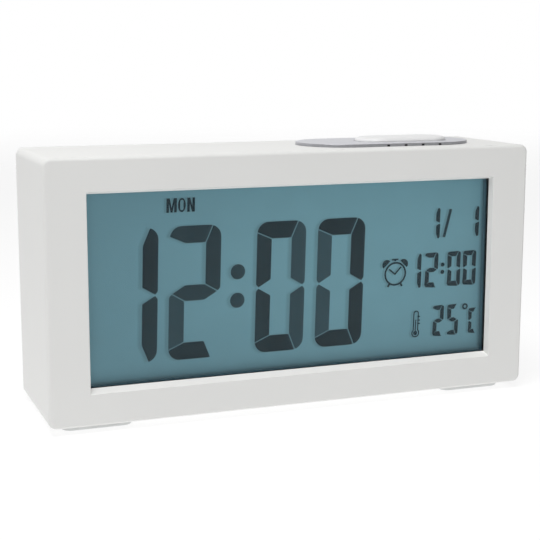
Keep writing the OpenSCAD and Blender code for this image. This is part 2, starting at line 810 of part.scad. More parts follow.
module rear_cover() {
    slide_l = slider_size[0] + slider_travel + 2 * run;
    slide_h = slider_size[1] + 2 * run;
    color("#f0f0ef") difference() {
        union() {
            block(-cover_x, cover_x, d_cover_in, d_cover_out, cover_z0, cover_z1);
            block(-door_x - bay_wall, door_x + bay_wall, d_pad, d_cover_out,
                  door_z0 - bay_wall, door_z1 + bay_wall);
            block(-bay_x - bay_wall, bay_x + bay_wall, d_bay_floor - bay_wall, d_cover_out,
                  bay_z0 - bay_wall, bay_z1 + bay_wall);
            hinge_rail();
            for (x = [-post_x, post_x], z = post_z) rod(x, z, post_inset - fit, d_pad, d_cover_out);
            for (x = key_boss_x) rod(x, key_z, small_boss_r, d_switch, d_cover_out);
        }
        door_opening();
        tail_slots();
        for (x = key_x) between(d_cover_in - cut, d_cover_out + cut)
            translate([x, key_z]) stadium(key_l + 2 * run, key_h + 2 * run);
        between(d_cover_in - cut, d_cover_out + cut)
            translate([slider_x, key_z]) round_rect(slide_l, slide_h, slide_corner_r);
        for (i = [0:vent_count - 1]) between(d_cover_in - cut, d_cover_out + cut)
            translate([vent_x, vent_z + (i - (vent_count - 1) / 2) * vent_pitch]) stadium(vent_l, vent_w);
        for (x = [-post_x, post_x], z = post_z) {
            rod(x, z, rear_screw[2] + fit, d_pad - cut, d_cover_out + cut);
            rod(x, z, rear_screw[0] + fit, d_pad + recess_bottom, d_cover_out + cut);
        }
        for (x = key_boss_x)
            rod(x, key_z, key_board_screw[2] + slip, d_switch - cut, d_switch + key_board_screw[3]);
    }
}

module rear_screws() {
    color("#a9acb0") for (x = [-post_x, post_x], z = post_z)
        front_screw(x, z, rear_screw, d_pad + recess_bottom);
}

// Door with a round hinge edge and two pins below, and a springy latch tab between two slits above.
module battery_door() {
    color("#f0f0ef") difference() {
        union() {
            block(-door_x, door_x, d_door, d_cover_out, hinge_z, door_z1);
            hinge_bar(hinge_r, door_x);
            hinge_bar(hinge_pin[0], door_x + hinge_pin[1]);
        }
        for (s = [-1, 1]) block(s * latch_w / 2 - latch_slit / 2, s * latch_w / 2 + latch_slit / 2,
            d_door - cut, d_cover_out + cut, door_z1 - latch_h, door_z1 + cut);
        for (i = [1:4]) block(-latch_w / 2 + 2, latch_w / 2 - 2, d_cover_out - grip_deep, d_cover_out + cut,
            door_z1 - grip_pitch * i - grip_w, door_z1 - grip_pitch * i);
    }
}

// --- keys and switches ---

module key(x) {
    color("#e4e5e6") {
        between(d_key_flange, d_key_flange + key_flange_t)
            translate([x, key_z]) stadium(key_l + 2 * key_flange, key_h + 2 * key_flange);
        translate([x, at(d_key_flange), key_z]) rotate([-90, 0, 0])
            soft_plate(key_l, key_h, d_cover_out + key_proud - d_key_flange, key_h / 2 - 0.01, key_edge_r);
    }
}

module plunger(x) {
    color("#2b2b2d") rod(x, key_z, plunger_r, d_switch + switch_h - plunger_sunk, d_key_flange);
}

module key_switches() {
    half = switch_size / 2;
    d_top = d_switch + switch_h;
    d_bore = d_top - plunger_sunk - key_travel - run;
    color("#3d3f42") for (x = key_x) difference() {
        block(x - half, x + half, d_switch, d_top, key_z - half, key_z + half);
        rod(x, key_z, plunger_r + slip, d_bore, d_top + cut);
    }
}

module key_board() {
    half = key_board_h / 2;
    color("#2f7d4f") difference() {
        block(key_board_x0, key_board_x1, d_key_board, d_switch, key_z - half, key_z + half);
        for (x = key_boss_x) rod(x, key_z, key_board_screw[2] + fit, d_key_board - cut, d_switch + cut);
    }
}

module key_board_screws() {
    color("#b9bcc0") for (x = key_boss_x)
        translate([x, at(d_key_board), key_z]) rotate([90, 0, 0]) screw(key_board_screw);
}

module key_ribbon() {
    x = (key_x[0] + key_x[1]) / 2;
    width = 7;
    drop = [9, 3]; // below the keys' middle line, at the main board and at the key board
    color("#cfd2d6") s_ribbon(x, width, ribbon_t, d_parts, key_z - drop[0], d_key_board, key_z - drop[1]);
}

// Sheet-metal case of the slide switch, with a slot for its lever.
module alarm_switch() {
    slot = slider_lever + slider_travel + 2 * slip;
    h = slide_switch[1] / 2;
    w = slide_switch[0] / 2;
    color("#aeb2b6") difference() {
        block(slider_x - w, slider_x + w, d_switch, d_switch + switch_h, key_z - h, key_z + h);
        block(slider_x - slot / 2, slider_x + slot / 2, d_switch + switch_h - lever_sunk - lever_floor,
              d_switch + switch_h + cut, key_z - slider_lever / 2 - slip, key_z + slider_lever / 2 + slip);
    }
}

// Lever of the slide switch with its ribbed head; at rest it stands at the off end.
module alarm_slider() {
    x = slider_x - slider_travel / 2;
    d_head = d_switch + switch_h + slider_head_gap;
    d_top = d_cover_out + slider_proud;
    half_l = slider_size[0] / 2;
    half_h = slider_size[1] / 2;
    rib_pitch = 1.2;
    groove = [0.5, 0.4]; // width and depth
    color("#d9dadb") difference() {
        union() {
            block(x - slider_lever / 2, x + slider_lever / 2, d_switch + switch_h - lever_sunk, d_head + cut,
                  key_z - slider_lever / 2, key_z + slider_lever / 2);
            block(x - half_l, x + half_l, d_head, d_top, key_z - half_h, key_z + half_h);
        }
        for (i = [-1.5:1.5]) translate([i * rib_pitch, 0, 0])
            block(x - groove[0] / 2, x + groove[0] / 2, d_top - groove[1], d_top + cut,
                  key_z - half_h - cut, key_z + half_h + cut);
    }
}

// --- batteries and contacts ---

// One cell; side = 1 has its positive end to the right.
module cell(i, side) {
    body_l = cell_l - nub_l;
    shoulder = 0.7;
    hem = 0.5;
    x_plus = side * (bay_x - plate_t);
    color("#3f6f58") translate([x_plus, at(cell_depth), cell_z[i]]) rotate([0, -90 * side, 0]) {
        cylinder(r = nub_r, h = nub_l + cut);
        translate([0, 0, nub_l]) rotate_extrude() polygon([
            [0, 0], [cell_r - shoulder, 0], [cell_r, shoulder],
            [cell_r, body_l - hem], [cell_r - hem, body_l], [0, body_l]
        ]);
    }
}

// Conical coil between a contact plate and a cell's flat end.
module contact_spring(i, side) {
    per_turn = 12;
    steps = spring_turns * per_turn;
    foot_r = 3.6;
    tip_r = 2.1;
    x_wall = side * (bay_x - plate_t - spring_wire);
    length = spring_l - 2 * spring_wire;
    path = [for (k = [0:steps])
        let (t = k / steps)
        let (a = 360 * k / per_turn)
        let (r = foot_r + (tip_r - foot_r) * t)
        [x_wall - side * length * t, at(cell_depth) + r * cos(a), cell_z[i] + r * sin(a)]];
    tube(path, spring_wire, 6);
}

module battery_springs() {
    color("#c9ccd0") {
        contact_spring(0, -1);
        contact_spring(1, 1);
        contact_spring(2, -1);
    }
}

// Contact plates on the bay's end walls; the two outer ones have a tail through the floor.
module battery_plates() {
    d0 = cell_depth - contact_half;
    d1 = cell_depth + contact_half;
    color("#c0c4c8") for (s = [-1, 1]) {
        x0 = s < 0 ? -bay_x : bay_x - plate_t;
        single = s < 0 ? 0 : 2;
        pair = s < 0 ? [1, 2] : [0, 1];
        block(x0, x0 + plate_t, d0, d1, cell_z[pair[0]] - contact_half, cell_z[pair[1]] + contact_half);
        block(x0, x0 + plate_t, d0, d1, cell_z[single] - contact_half, cell_z[single] + contact_half);
        block(x0, x0 + plate_t, d_tail, cell_depth, cell_z[single] - tail_w / 2, cell_z[single] + tail_w / 2);
    }
}

// Two leads from the contact tails to the main board; each bows out to the side between straight ends.
module battery_leads() {
    wire_r = 0.7;
    steps = 16;
    stub = 0.6;
    aside = 6;
    bow = 4;
    rise = 3;
    d0 = d_tail - stub;
    d1 = d_parts + stub;
    for (s = [-1, 1]) {
        z = cell_z[s < 0 ? 0 : 2];
        x = s * (bay_x - plate_t / 2);
        curve = [for (k = [0:steps])
            let (t = k / steps)
            let (ease = (1 - cos(180 * t)) / 2)
            [x + s * (aside * ease + bow * pow(sin(180 * t), 2)), at(d0 + (d1 - d0) * t), z + rise * ease]];
        path = concat([[x, at(d_tail), z]], curve, [[x + s * aside, at(d_parts), z + rise]]);
        color(s < 0 ? "#1c1c1c" : "#b3262a") tube(path, wire_r, 8);
    }
}

// --- feet ---

module foot_places() {
    for (sx = [-1, 1], sy = [-1, 1]) foot_at(sx, sy) children();
}

module foot_at(sx, sy) {
    x = body_w / 2 - foot_margin - foot_l / 2;
    y = body_d / 2 - foot_margin - foot_w / 2;
    translate([sx * x, sy * y, 0]) children();
}

module foot_seats() {
    foot_places() translate([0, 0, base_z - cut])
        linear_extrude(foot_seat + cut) round_rect(foot_l + 2 * fit, foot_w + 2 * fit, foot_r + fit);
}

module foot(sx, sy) {
    color("#d9dad9") foot_at(sx, sy) translate([0, 0, foot_h + foot_seat]) rotate([180, 0, 0])
        soft_plate(foot_l, foot_w, foot_h + foot_seat, foot_r, foot_edge_r);
}

front_case();
display_window();
window_gasket();
front_polarizer();
lcd_front_glass();
lcd_rear_glass();
rear_polarizer();
diffuser_sheet();
light_guide();
reflector_sheet();
lcd_frame();
backlight_board();
backlight_leds();
elastomer_connector();
main_board();
clock_chip();
chip_resistors();
quartz_crystal();
capacitor();
buzzer();
temperature_sensor();
board_screws();
top_panel();
snooze_button();
snooze_dome();
snooze_board();
snooze_screws();
snooze_ribbon();
rear_cover();
rear_screws();
key(key_x[0]);  // key_mode
key(key_x[1]);  // key_alarm
key(key_x[2]);  // key_up
key(key_x[3]);  // key_down
plunger(key_x[0]);  // plunger_mode
plunger(key_x[1]);  // plunger_alarm
plunger(key_x[2]);  // plunger_up
plunger(key_x[3]);  // plunger_down
key_switches();
key_board();
key_board_screws();
key_ribbon();
alarm_switch();
alarm_slider();
battery_door();
cell(0, 1);  // battery_lower
cell(1, -1);  // battery_middle
cell(2, 1);  // battery_upper
battery_springs();
battery_plates();
battery_leads();
foot(-1, -1);  // foot_front_left
foot(1, -1);  // foot_front_right
foot(-1, 1);  // foot_rear_left
foot(1, 1);  // foot_rear_right
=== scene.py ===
"""Looks of a battery-run alarm clock with a wide display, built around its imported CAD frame.

Shapes are worked out in millimetres, +X right, +Y back, +Z up, with the origin on the table under the
middle of the case, and turned to metres when a mesh is made. A depth is counted from the case's front face.
"""
import json
import math
from contextlib import contextmanager

import bmesh
import bpy
import numpy as np
from bpy.props import FloatProperty, FloatVectorProperty, IntProperty, PointerProperty
from mathutils import Matrix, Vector
from mathutils.geometry import tessellate_polygon


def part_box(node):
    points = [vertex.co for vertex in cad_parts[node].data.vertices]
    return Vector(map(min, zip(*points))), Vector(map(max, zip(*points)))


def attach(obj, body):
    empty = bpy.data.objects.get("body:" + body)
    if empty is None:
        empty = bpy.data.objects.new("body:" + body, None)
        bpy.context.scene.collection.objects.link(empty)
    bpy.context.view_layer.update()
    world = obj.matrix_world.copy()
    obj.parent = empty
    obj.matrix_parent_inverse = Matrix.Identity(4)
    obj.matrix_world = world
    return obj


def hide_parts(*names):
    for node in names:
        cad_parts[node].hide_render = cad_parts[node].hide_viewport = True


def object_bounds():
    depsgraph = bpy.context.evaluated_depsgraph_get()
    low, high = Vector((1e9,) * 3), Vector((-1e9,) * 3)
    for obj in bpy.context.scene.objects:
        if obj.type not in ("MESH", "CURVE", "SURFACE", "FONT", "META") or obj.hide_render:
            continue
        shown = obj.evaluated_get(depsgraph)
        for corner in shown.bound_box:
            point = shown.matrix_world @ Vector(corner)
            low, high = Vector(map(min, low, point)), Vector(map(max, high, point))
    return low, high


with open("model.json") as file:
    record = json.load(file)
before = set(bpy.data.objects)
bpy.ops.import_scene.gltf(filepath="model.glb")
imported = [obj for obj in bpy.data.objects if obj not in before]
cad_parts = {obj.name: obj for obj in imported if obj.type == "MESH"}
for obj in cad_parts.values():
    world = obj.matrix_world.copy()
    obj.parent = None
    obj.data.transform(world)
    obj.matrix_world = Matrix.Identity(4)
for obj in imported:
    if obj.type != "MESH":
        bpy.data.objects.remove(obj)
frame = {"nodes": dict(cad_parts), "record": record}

bl_info = {
    "name": "Alarm Clock Looks",
    "version": (1, 0, 0),
    "blender": (4, 5, 0),
    "location": "3D View > Sidebar > Clock",
    "description": "Builds the surfaces, finishes and studio of a battery-run alarm clock",
    "category": "Object",
}

MM = 0.001
CAD_BOUNDS = [list(corner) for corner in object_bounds()]
FRONT = 1000 * CAD_BOUNDS[0][1]  # y of the front face


def linear(hex_colour):
    """sRGB hex to linear red, green and blue: the sRGB curve undone channel by channel."""
    srgb = np.array([int(hex_colour[i:i + 2], 16) for i in (0, 2, 4)]) / 255
    return tuple(np.where(srgb <= 0.04045, srgb / 12.92, ((srgb + 0.055) / 1.055) ** 2.4).tolist())


def colour(name, description, hex_colour):
    """Colour setting, with its default given as sRGB hex."""
    return FloatVectorProperty(name=name, description=description, subtype="COLOR", size=3,
                               min=0, max=1, default=linear(hex_colour))


def length(name, description, millimetres, **limits):
    """Length setting in metres, with its default given in millimetres."""
    return FloatProperty(name=name, description=description, subtype="DISTANCE", unit="LENGTH",
                         default=millimetres * MM, precision=5, **limits)


def box_mm(node):
    """Lowest and highest corner of a CAD node, in millimetres."""
    low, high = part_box(node)
    return np.array(low) / MM, np.array(high) / MM


# --- flat outlines ---

def arc(centre, radius, start, stop, steps):
    """Part of a circle: the centre plus radius times (cos a, sin a), where a goes evenly from start to stop
    degrees."""
    a = np.radians(np.linspace(start, stop, steps + 1))
    return np.column_stack((centre[0] + radius * np.cos(a), centre[1] + radius * np.sin(a)))


def disc(centre, radius, points):
    """Whole circle of so many points, evenly spread."""
    return arc(centre, radius, 0, 360 - 360 / points, points - 1)


def rounded(width, height, radius, steps=8, centre=(0, 0)):
    """Rounded rectangle, anticlockwise: a quarter circle in each corner, joined by straight edges."""
    radius = min(radius, min(width, height) / 2 - 0.005)
    dx, dy = width / 2 - radius, height / 2 - radius
    corners = ((dx, dy, 0), (-dx, dy, 90), (-dx, -dy, 180), (dx, -dy, 270))
    return np.concatenate([arc((centre[0] + x, centre[1] + y), radius, a, a + 90, steps)
                           for x, y, a in corners])


def grown(loop, reach):
    """Loop with every edge moved outwards by reach: a point moves along the sum of its two edges' normals,
    divided by one plus their dot product, which is held above a limit so that a sharp tip stays short."""
    edge = np.roll(loop, -1, 0) - loop
    normal = np.column_stack((edge[:, 1], -edge[:, 0])) / np.linalg.norm(edge, axis=1, keepdims=True)
    before = np.roll(normal, 1, 0)
    return loop + reach * (normal + before) / np.maximum(1 + (normal * before).sum(1, keepdims=True), 0.4)


def stroke(path, width):
    """Outline of a bent line: its points moved half the width to the right going out, and to the left coming
    back."""
    path = np.asarray(path, float)
    step = np.diff(path, axis=0)
    normal = np.column_stack((-step[:, 1], step[:, 0])) / np.linalg.norm(step, axis=1, keepdims=True)
    before, after = np.vstack((normal[:1], normal)), np.vstack((normal, normal[-1:]))
    side = width / 2 * (before + after) / (1 + (before * after).sum(1, keepdims=True))
    return np.vstack((path - side, (path + side)[::-1]))


def clipped(loop, point, normal):
    """Part of a convex loop behind a line: points in front are dropped, and the crossings are added by the
    ratio of the two distances."""
    reach = (loop - point) @ normal
    following, ahead = np.roll(loop, -1, 0), np.roll(reach, -1)
    crossing = (reach > 0) != (ahead > 0)
    share = np.where(crossing, reach / np.where(crossing, reach - ahead, 1), 0)[:, None]
    pairs = np.stack((loop, loop + share * (following - loop)), 1)
    keep = np.stack((reach <= 0, crossing), 1)
    return pairs[keep]


def lifted(loop, height):
    """Loop of (u, v) at one height."""
    return np.column_stack((loop, np.full(len(loop), height)))


# --- profiles: rows of (reach outwards from a loop, height) ---

def turn(reach, height, across, along, steps=5):
    """Quarter of an ellipse that rounds a corner of a profile: it starts on the wall, at height plus along,
    and ends on the face, at reach plus across."""
    a = np.radians(np.linspace(0, 90, steps + 1))
    return np.column_stack((reach + across * (1 - np.cos(a)), height + along * (1 - np.sin(a))))


def swept(loop, profile):
    """Profile carried around a loop: each row is the loop grown by the profile's reach, at its height."""
    return np.stack([lifted(grown(loop, reach), height) for reach, height in profile])


def lathe(profile, steps=48):
    """Profile of (height, radius) turned about the third axis: radius times (cos a, sin a) at its height."""
    a = np.radians(np.arange(steps) * 360 / steps)
    height, radius = np.asarray(profile, float).T[..., None]
    return np.stack((radius * np.cos(a), radius * np.sin(a), height + 0 * a), -1)


def tube(path, radius, sides=10):
    """Round wire along a path: at each point a circle in the plane of two directions square to the path."""
    step = np.gradient(path, axis=0)
    step /= np.linalg.norm(step, axis=1, keepdims=True)
    side = np.cross(step, (1, 0, 0))
    side /= np.linalg.norm(side, axis=1, keepdims=True)
    up = np.cross(side, step)
    a = np.radians(np.arange(sides) * 360 / sides)[:, None]
    return path[:, None] + radius * (np.cos(a) * side[:, None] + np.sin(a) * up[:, None])


class Shell:
    """Closed surfaces, collected as grids and flat sheets of points (u, v, height); tone is a number that
    each point can carry for its material."""

    def __init__(self):
        self.points, self.tones, self.faces = [], [], []

    def place(self, points, tone):
        """Adds rows of points and returns the number of the first."""
        start = sum(map(len, self.points))
        self.points.append(points.reshape(-1, 3))
        self.tones.append(np.broadcast_to(tone, points.shape[:-1]).reshape(-1))
        return start

    def grid(self, rows, tone=0.0):
        """Four-cornered faces between neighbouring rows; each row is closed on itself."""
        shape = rows.shape[:2]
        here = self.place(rows, tone) + np.arange(shape[0] * shape[1]).reshape(shape)
        there = np.roll(here, -1, 1)
        self.faces += np.stack((here[:-1], there[:-1], there[1:], here[1:]), -1).reshape(-1, 4).tolist()

    def sheet(self, *loops, height=None, tone=0.0):
        """Flat face inside the first loop and outside the others, cut into triangles."""
        if height is not None:
            loops = [lifted(loop, height) for loop in loops]
        start = self.place(np.concatenate(loops), tone)
        cuts = tessellate_polygon([loop.tolist() for loop in loops])
        self.faces += (start + np.array(cuts)).tolist()

    def solid(self, rows, tone=0.0):
        """Grid with its first and last row closed by flat sheets."""
        tone = np.broadcast_to(tone, rows.shape[:2])
        self.grid(rows, tone)
        self.sheet(rows[0], tone=tone[0])
        self.sheet(rows[-1], tone=tone[-1])


def upright(points):
    """(u, v, height) as (x, y, z): the height points up."""
    return points


def facing(points):
    """(u, v, height) as (x, depth, z): the height counts back from the front face."""
    return np.stack((points[:, 0], FRONT + points[:, 2], points[:, 1]), 1)


@contextmanager
def edited(mesh, source):
    """Opens the source mesh for editing, and writes the result to mesh."""
    bm = bmesh.new()
    bm.from_mesh(source)
    yield bm
    bm.to_mesh(mesh)
    bm.free()


def parts_of(mesh):
    """Number of the joined part that each point belongs to: the two ends of every edge take the lower of
    their numbers, again and again until nothing changes."""
    edges = np.empty(2 * len(mesh.edges), int)
    mesh.edges.foreach_get("vertices", edges)
    edges = edges.reshape(-1, 2)
    part = np.arange(len(mesh.vertices))
    while True:
        lower = part.copy()
        for end in edges.T:
            np.minimum.at(lower, end, part[edges].min(1))
        lower = lower[lower]
        if (lower == part).all():
            return part
        part = lower


def turned_outwards(mesh):
    """Turns over each part whose volume is negative: the volume is the sum over its triangles of a sixth of
    the first corner's product with the cross product of the other two."""
    part = parts_of(mesh)
    points = np.empty(3 * len(mesh.vertices))
    mesh.vertices.foreach_get("co", points)
    mesh.calc_loop_triangles()
    corners = np.empty(3 * len(mesh.loop_triangles), int)
    mesh.loop_triangles.foreach_get("vertices", corners)
    corners = corners.reshape(-1, 3)
    a, b, c = np.moveaxis(points.reshape(-1, 3)[corners], 1, 0)
    volume = np.bincount(part[corners[:, 0]], (a * np.cross(b, c)).sum(1), len(part))
    inverted = volume[part] < 0
    with edited(mesh, mesh) as bm:
        bmesh.ops.reverse_faces(bm, faces=[face for face in bm.faces if inverted[face.verts[0].index]])
    return mesh


def mesh_of(name, shell, axes=upright):
    """Mesh in metres from a shell, with doubles merged and faces turned outwards."""
    mesh = bpy.data.meshes.new(name)
    points = axes(np.concatenate(shell.points)) * MM
    mesh.from_pydata(points, [], shell.faces)
    mesh.attributes.new("tone", "FLOAT", "POINT").data.foreach_set("value", np.concatenate(shell.tones))
    with edited(mesh, mesh) as bm:
        bmesh.ops.remove_doubles(bm, verts=bm.verts, dist=0.0005 * MM)
        bmesh.ops.recalc_face_normals(bm, faces=bm.faces)
    return turned_outwards(mesh)


def softened(node, edge, segments=2):
    """Copy of a CAD solid for a moulded piece: doubles merged, flat faces joined again, and every edge
    sharper than 35 degrees rounded by edge millimetres."""
    mesh = bpy.data.meshes.new(node + "_soft")
    with edited(mesh, frame["nodes"][node].data) as bm:
        bmesh.ops.remove_doubles(bm, verts=bm.verts, dist=0.001 * MM)
        bmesh.ops.dissolve_limit(bm, angle_limit=math.radians(0.3), verts=bm.verts, edges=bm.edges)
        sharp = [e for e in bm.edges if e.is_manifold and e.calc_face_angle() > math.radians(35)]
        bmesh.ops.bevel(bm, geom=sharp, offset=edge * MM, offset_type="OFFSET", segments=segments,
                        profile=0.5, affect="EDGES", clamp_overlap=True, loop_slide=False)
    return mesh


def rejoined(node):
    """Copy of a CAD solid with its doubles merged, which takes up its triangles of no area."""
    mesh = bpy.data.meshes.new(node + "_rejoined")
    with edited(mesh, frame["nodes"][node].data) as bm:
        bmesh.ops.remove_doubles(bm, verts=bm.verts, dist=0.0001 * MM)
        bmesh.ops.delete(bm, geom=[vert for vert in bm.verts if not vert.link_faces], context="VERTS")
    return mesh


def piece(name, mesh, material, body="case", replaces=(), sharp=40):
    """Object that rides on a body: smooth shading with kept sharp edges and one finish."""
    obj = bpy.data.objects.new(name, mesh)
    bpy.context.scene.collection.objects.link(obj)
    mesh.materials.append(material)
    mesh.shade_smooth()
    mesh.set_sharp_from_angle(angle=math.radians(sharp))
    obj.modifiers.new("even_normals", "WEIGHTED_NORMAL").keep_sharp = True
    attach(obj, body)
    if replaces:
        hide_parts(*replaces)
    return obj


# --- materials ---

def add(tree, kind, inputs=None, **settings):
    """Adds one shader node, applies its settings, and links each input that is a socket or sets it; a
    linear colour gets its alpha."""
    node = tree.nodes.new("ShaderNode" + kind)
    for key, value in settings.items():
        setattr(node, key, value)
    for key, value in (inputs or {}).items():
        if isinstance(value, bpy.types.NodeSocket):
            tree.links.new(value, node.inputs[key])
        else:
            socket = node.inputs[key]
            socket.default_value = (*value, 1) if socket.type == "RGBA" else value
    return node


def blank(name):
    """Material with an empty tree, and the Object coordinates that its pattern reads, in metres."""
    material = bpy.data.materials.new(name)
    material.use_nodes = True
    material.node_tree.nodes.clear()
    return material, material.node_tree, add(material.node_tree, "TexCoord").outputs["Object"]


def finish(tree, inputs, relief=None, depth=0.0):
    """Principled shader on the output; relief is a height from 0 to 1 that stands depth millimetres high."""
    shader = add(tree, "BsdfPrincipled", inputs)
    if relief is not None:
        bump = add(tree, "Bump", {"Height": relief, "Distance": depth * MM, "Strength": 1.0})
        tree.links.new(bump.outputs[0], shader.inputs["Normal"])
    add(tree, "OutputMaterial", {"Surface": shader.outputs[0]})


def moulded(name, tint, roughness, grain=0.5, relief=0.003, drift=0.02, cloud=30.0, **fixed):
    """Injection-moulded plastic or rubber: the tint drifts by a few hundredths over cloud millimetres, the
    tool's spark-eroded grain is grain millimetres across, and the gloss changes slightly with the drift."""
    material, tree, place = blank(name)
    flow = add(tree, "TexNoise", {"Vector": place, "Scale": 1 / (cloud * MM), "Detail": 2.0}).outputs[0]
    eroded = add(tree, "TexNoise", {"Vector": place, "Scale": 1 / (grain * MM), "Detail": 3.0}).outputs[0]
    tint = np.array(tint)
    darker, lighter = (np.clip(tint * (1 + way * drift), 0, 1) for way in (-1, 1))
    base = add(tree, "Mix", {0: flow, 6: darker, 7: lighter}, data_type="RGBA").outputs[2]
    gloss = add(tree, "MapRange", {"Value": flow, "To Min": roughness - 0.03, "To Max": roughness + 0.03})
    sockets = {"Base Color": base, "Roughness": gloss.outputs[0], "IOR": 1.5}
    sockets.update({key.replace("_", " "): value for key, value in fixed.items()})
    finish(tree, sockets, eroded, relief)
    return material


def plated(name, tint, roughness, grain=0.4, stretch=(1, 1, 1), relief=0.002, spots=0.0):
    """Rolled or plated metal: fine scratches, drawn out by stretch, vary the gloss, and spots darken it."""
    material, tree, place = blank(name)
    drawn = add(tree, "Mapping", {"Vector": place, "Scale": stretch}).outputs[0]
    scratch = add(tree, "TexNoise", {"Vector": drawn, "Scale": 1 / (grain * MM), "Detail": 4.0}).outputs[0]
    stain = add(tree, "TexNoise", {"Vector": place, "Scale": 1 / (6 * MM), "Detail": 3.0}).outputs[0]
    tint = np.array(tint)
    base = add(tree, "Mix", {0: stain, 6: tint * (1 - spots), 7: tint}, data_type="RGBA").outputs[2]
    gloss = add(tree, "MapRange", {"Value": scratch, "To Min": roughness - 0.08, "To Max": roughness + 0.08})
    finish(tree, {"Base Color": base, "Roughness": gloss.outputs[0], "Metallic": 1.0}, scratch, relief)
    return material


def silver_paint(name, tint, painted_shade):
    """Silver lacquer on ABS: aluminium flakes, a third of a millimetre here so that they show at all, make a
    fine sparkle. Tone mixes in painted shade and takes the metal away with it: in part on the plate's rim
    and foot, in full inside the sound slots."""
    material, tree, place = blank(name)
    flakes = add(tree, "TexVoronoi", {"Vector": place, "Scale": 1 / (0.35 * MM)}).outputs["Color"]
    spark = add(tree, "MapRange", {"Value": add(tree, "SeparateXYZ", {0: flakes}).outputs[0],
                                   "To Min": 0.93, "To Max": 1.05}).outputs[0]
    tone = add(tree, "Attribute", attribute_name="tone").outputs["Fac"]
    lacquer = add(tree, "VectorMath", {0: tint, "Scale": spark}, operation="SCALE").outputs[0]
    metal = add(tree, "MapRange", {"Value": tone, "To Min": 0.7, "To Max": 0.0}).outputs[0]
    gloss = add(tree, "MapRange", {"Value": spark, "From Min": 0.9, "From Max": 1.1,
                                   "To Min": 0.28, "To Max": 0.38}).outputs[0]
    base = add(tree, "Mix", {0: tone, 6: lacquer, 7: painted_shade}, data_type="RGBA").outputs[2]
    finish(tree, {"Base Color": base, "Metallic": metal, "Roughness": gloss})
    return material


def striped(name, first, second, pitch, axis, roughness, relief=0.02, **fixed):
    """Bands across one axis: a sine wave of the given pitch in millimetres, sharpened to stripes."""
    material, tree, place = blank(name)
    wave = add(tree, "TexWave", {"Vector": place, "Scale": math.pi / (10 * pitch * MM)},
               bands_direction=axis, wave_profile="SIN").outputs[1]
    band = add(tree, "MapRange", {"Value": wave, "From Min": 0.4, "From Max": 0.6}).outputs[0]
    base = add(tree, "Mix", {0: band, 6: first, 7: second}, data_type="RGBA").outputs[2]
    finish(tree, {"Base Color": base, "Roughness": roughness, **fixed}, wave, relief)
    return material


def circuit_board(name, mask, copper):
    """Glass-epoxy laminate under green solder mask: 1.2 mm tracks show as a lighter, raised net."""
    material, tree, place = blank(name)
    cells = add(tree, "TexVoronoi", {"Vector": place, "Scale": 1 / (5 * MM), "Randomness": 0.35},
                feature="DISTANCE_TO_EDGE", distance="EUCLIDEAN").outputs[0]
    track = add(tree, "MapRange", {"Value": cells, "From Min": 0.08, "From Max": 0.12,
                                   "To Min": 1.0, "To Max": 0.0}).outputs[0]
    weave = add(tree, "TexNoise", {"Vector": place, "Scale": 1 / (0.8 * MM)}).outputs[0]
    cloth = add(tree, "Mix", {0: weave, 6: np.array(mask) * 0.85, 7: mask}, data_type="RGBA").outputs[2]
    base = add(tree, "Mix", {0: track, 6: cloth, 7: copper}, data_type="RGBA").outputs[2]
    finish(tree, {"Base Color": base, "Roughness": 0.3, "IOR": 1.5, "Coat Weight": 0.3}, track, 0.04)
    return material


def face_tint(tree, place, edge, middle):
    """Colour of the display: a painted pool of light, an oval spread right of its centre with middle tint
    inside and edge tint outside, and painted shade over the last 1.6 mm before the black foam."""
    low, high = box_mm("front_polarizer")
    centre, half = (low + high) / 2 * MM, (high - low) / 2 * MM
    bright = centre + np.array((22, 0, 5)) * MM
    spans = (1.25 * half[0], 1, 1.35 * half[2])
    oval = add(tree, "Mapping", {"Vector": place, "Location": bright, "Scale": spans},
               vector_type="TEXTURE").outputs[0]
    reach = add(tree, "VectorMath", {0: oval}, operation="LENGTH").outputs[1]
    spread = add(tree, "MapRange", {"Value": reach, "From Min": 0.2, "From Max": 1.25},
                 interpolation_type="SMOOTHSTEP").outputs[0]
    offset = add(tree, "VectorMath", {0: place, 1: centre}, operation="SUBTRACT").outputs[0]
    away = add(tree, "VectorMath", {0: offset}, operation="ABSOLUTE").outputs[0]
    inside = add(tree, "VectorMath", {0: half, 1: away}, operation="SUBTRACT").outputs[0]
    sides = add(tree, "SeparateXYZ", {0: inside}).outputs
    nearest = add(tree, "Math", {0: sides[0], 1: sides[2]}, operation="MINIMUM").outputs[0]
    shade = add(tree, "MapRange", {"Value": nearest, "From Min": 0, "From Max": 1.6 * MM, "To Min": 0.5},
                interpolation_type="SMOOTHSTEP").outputs[0]
    tint = add(tree, "Mix", {0: spread, 6: middle, 7: edge}, data_type="RGBA").outputs[2]
    return add(tree, "VectorMath", {0: tint, "Scale": shade}, operation="SCALE").outputs[0]


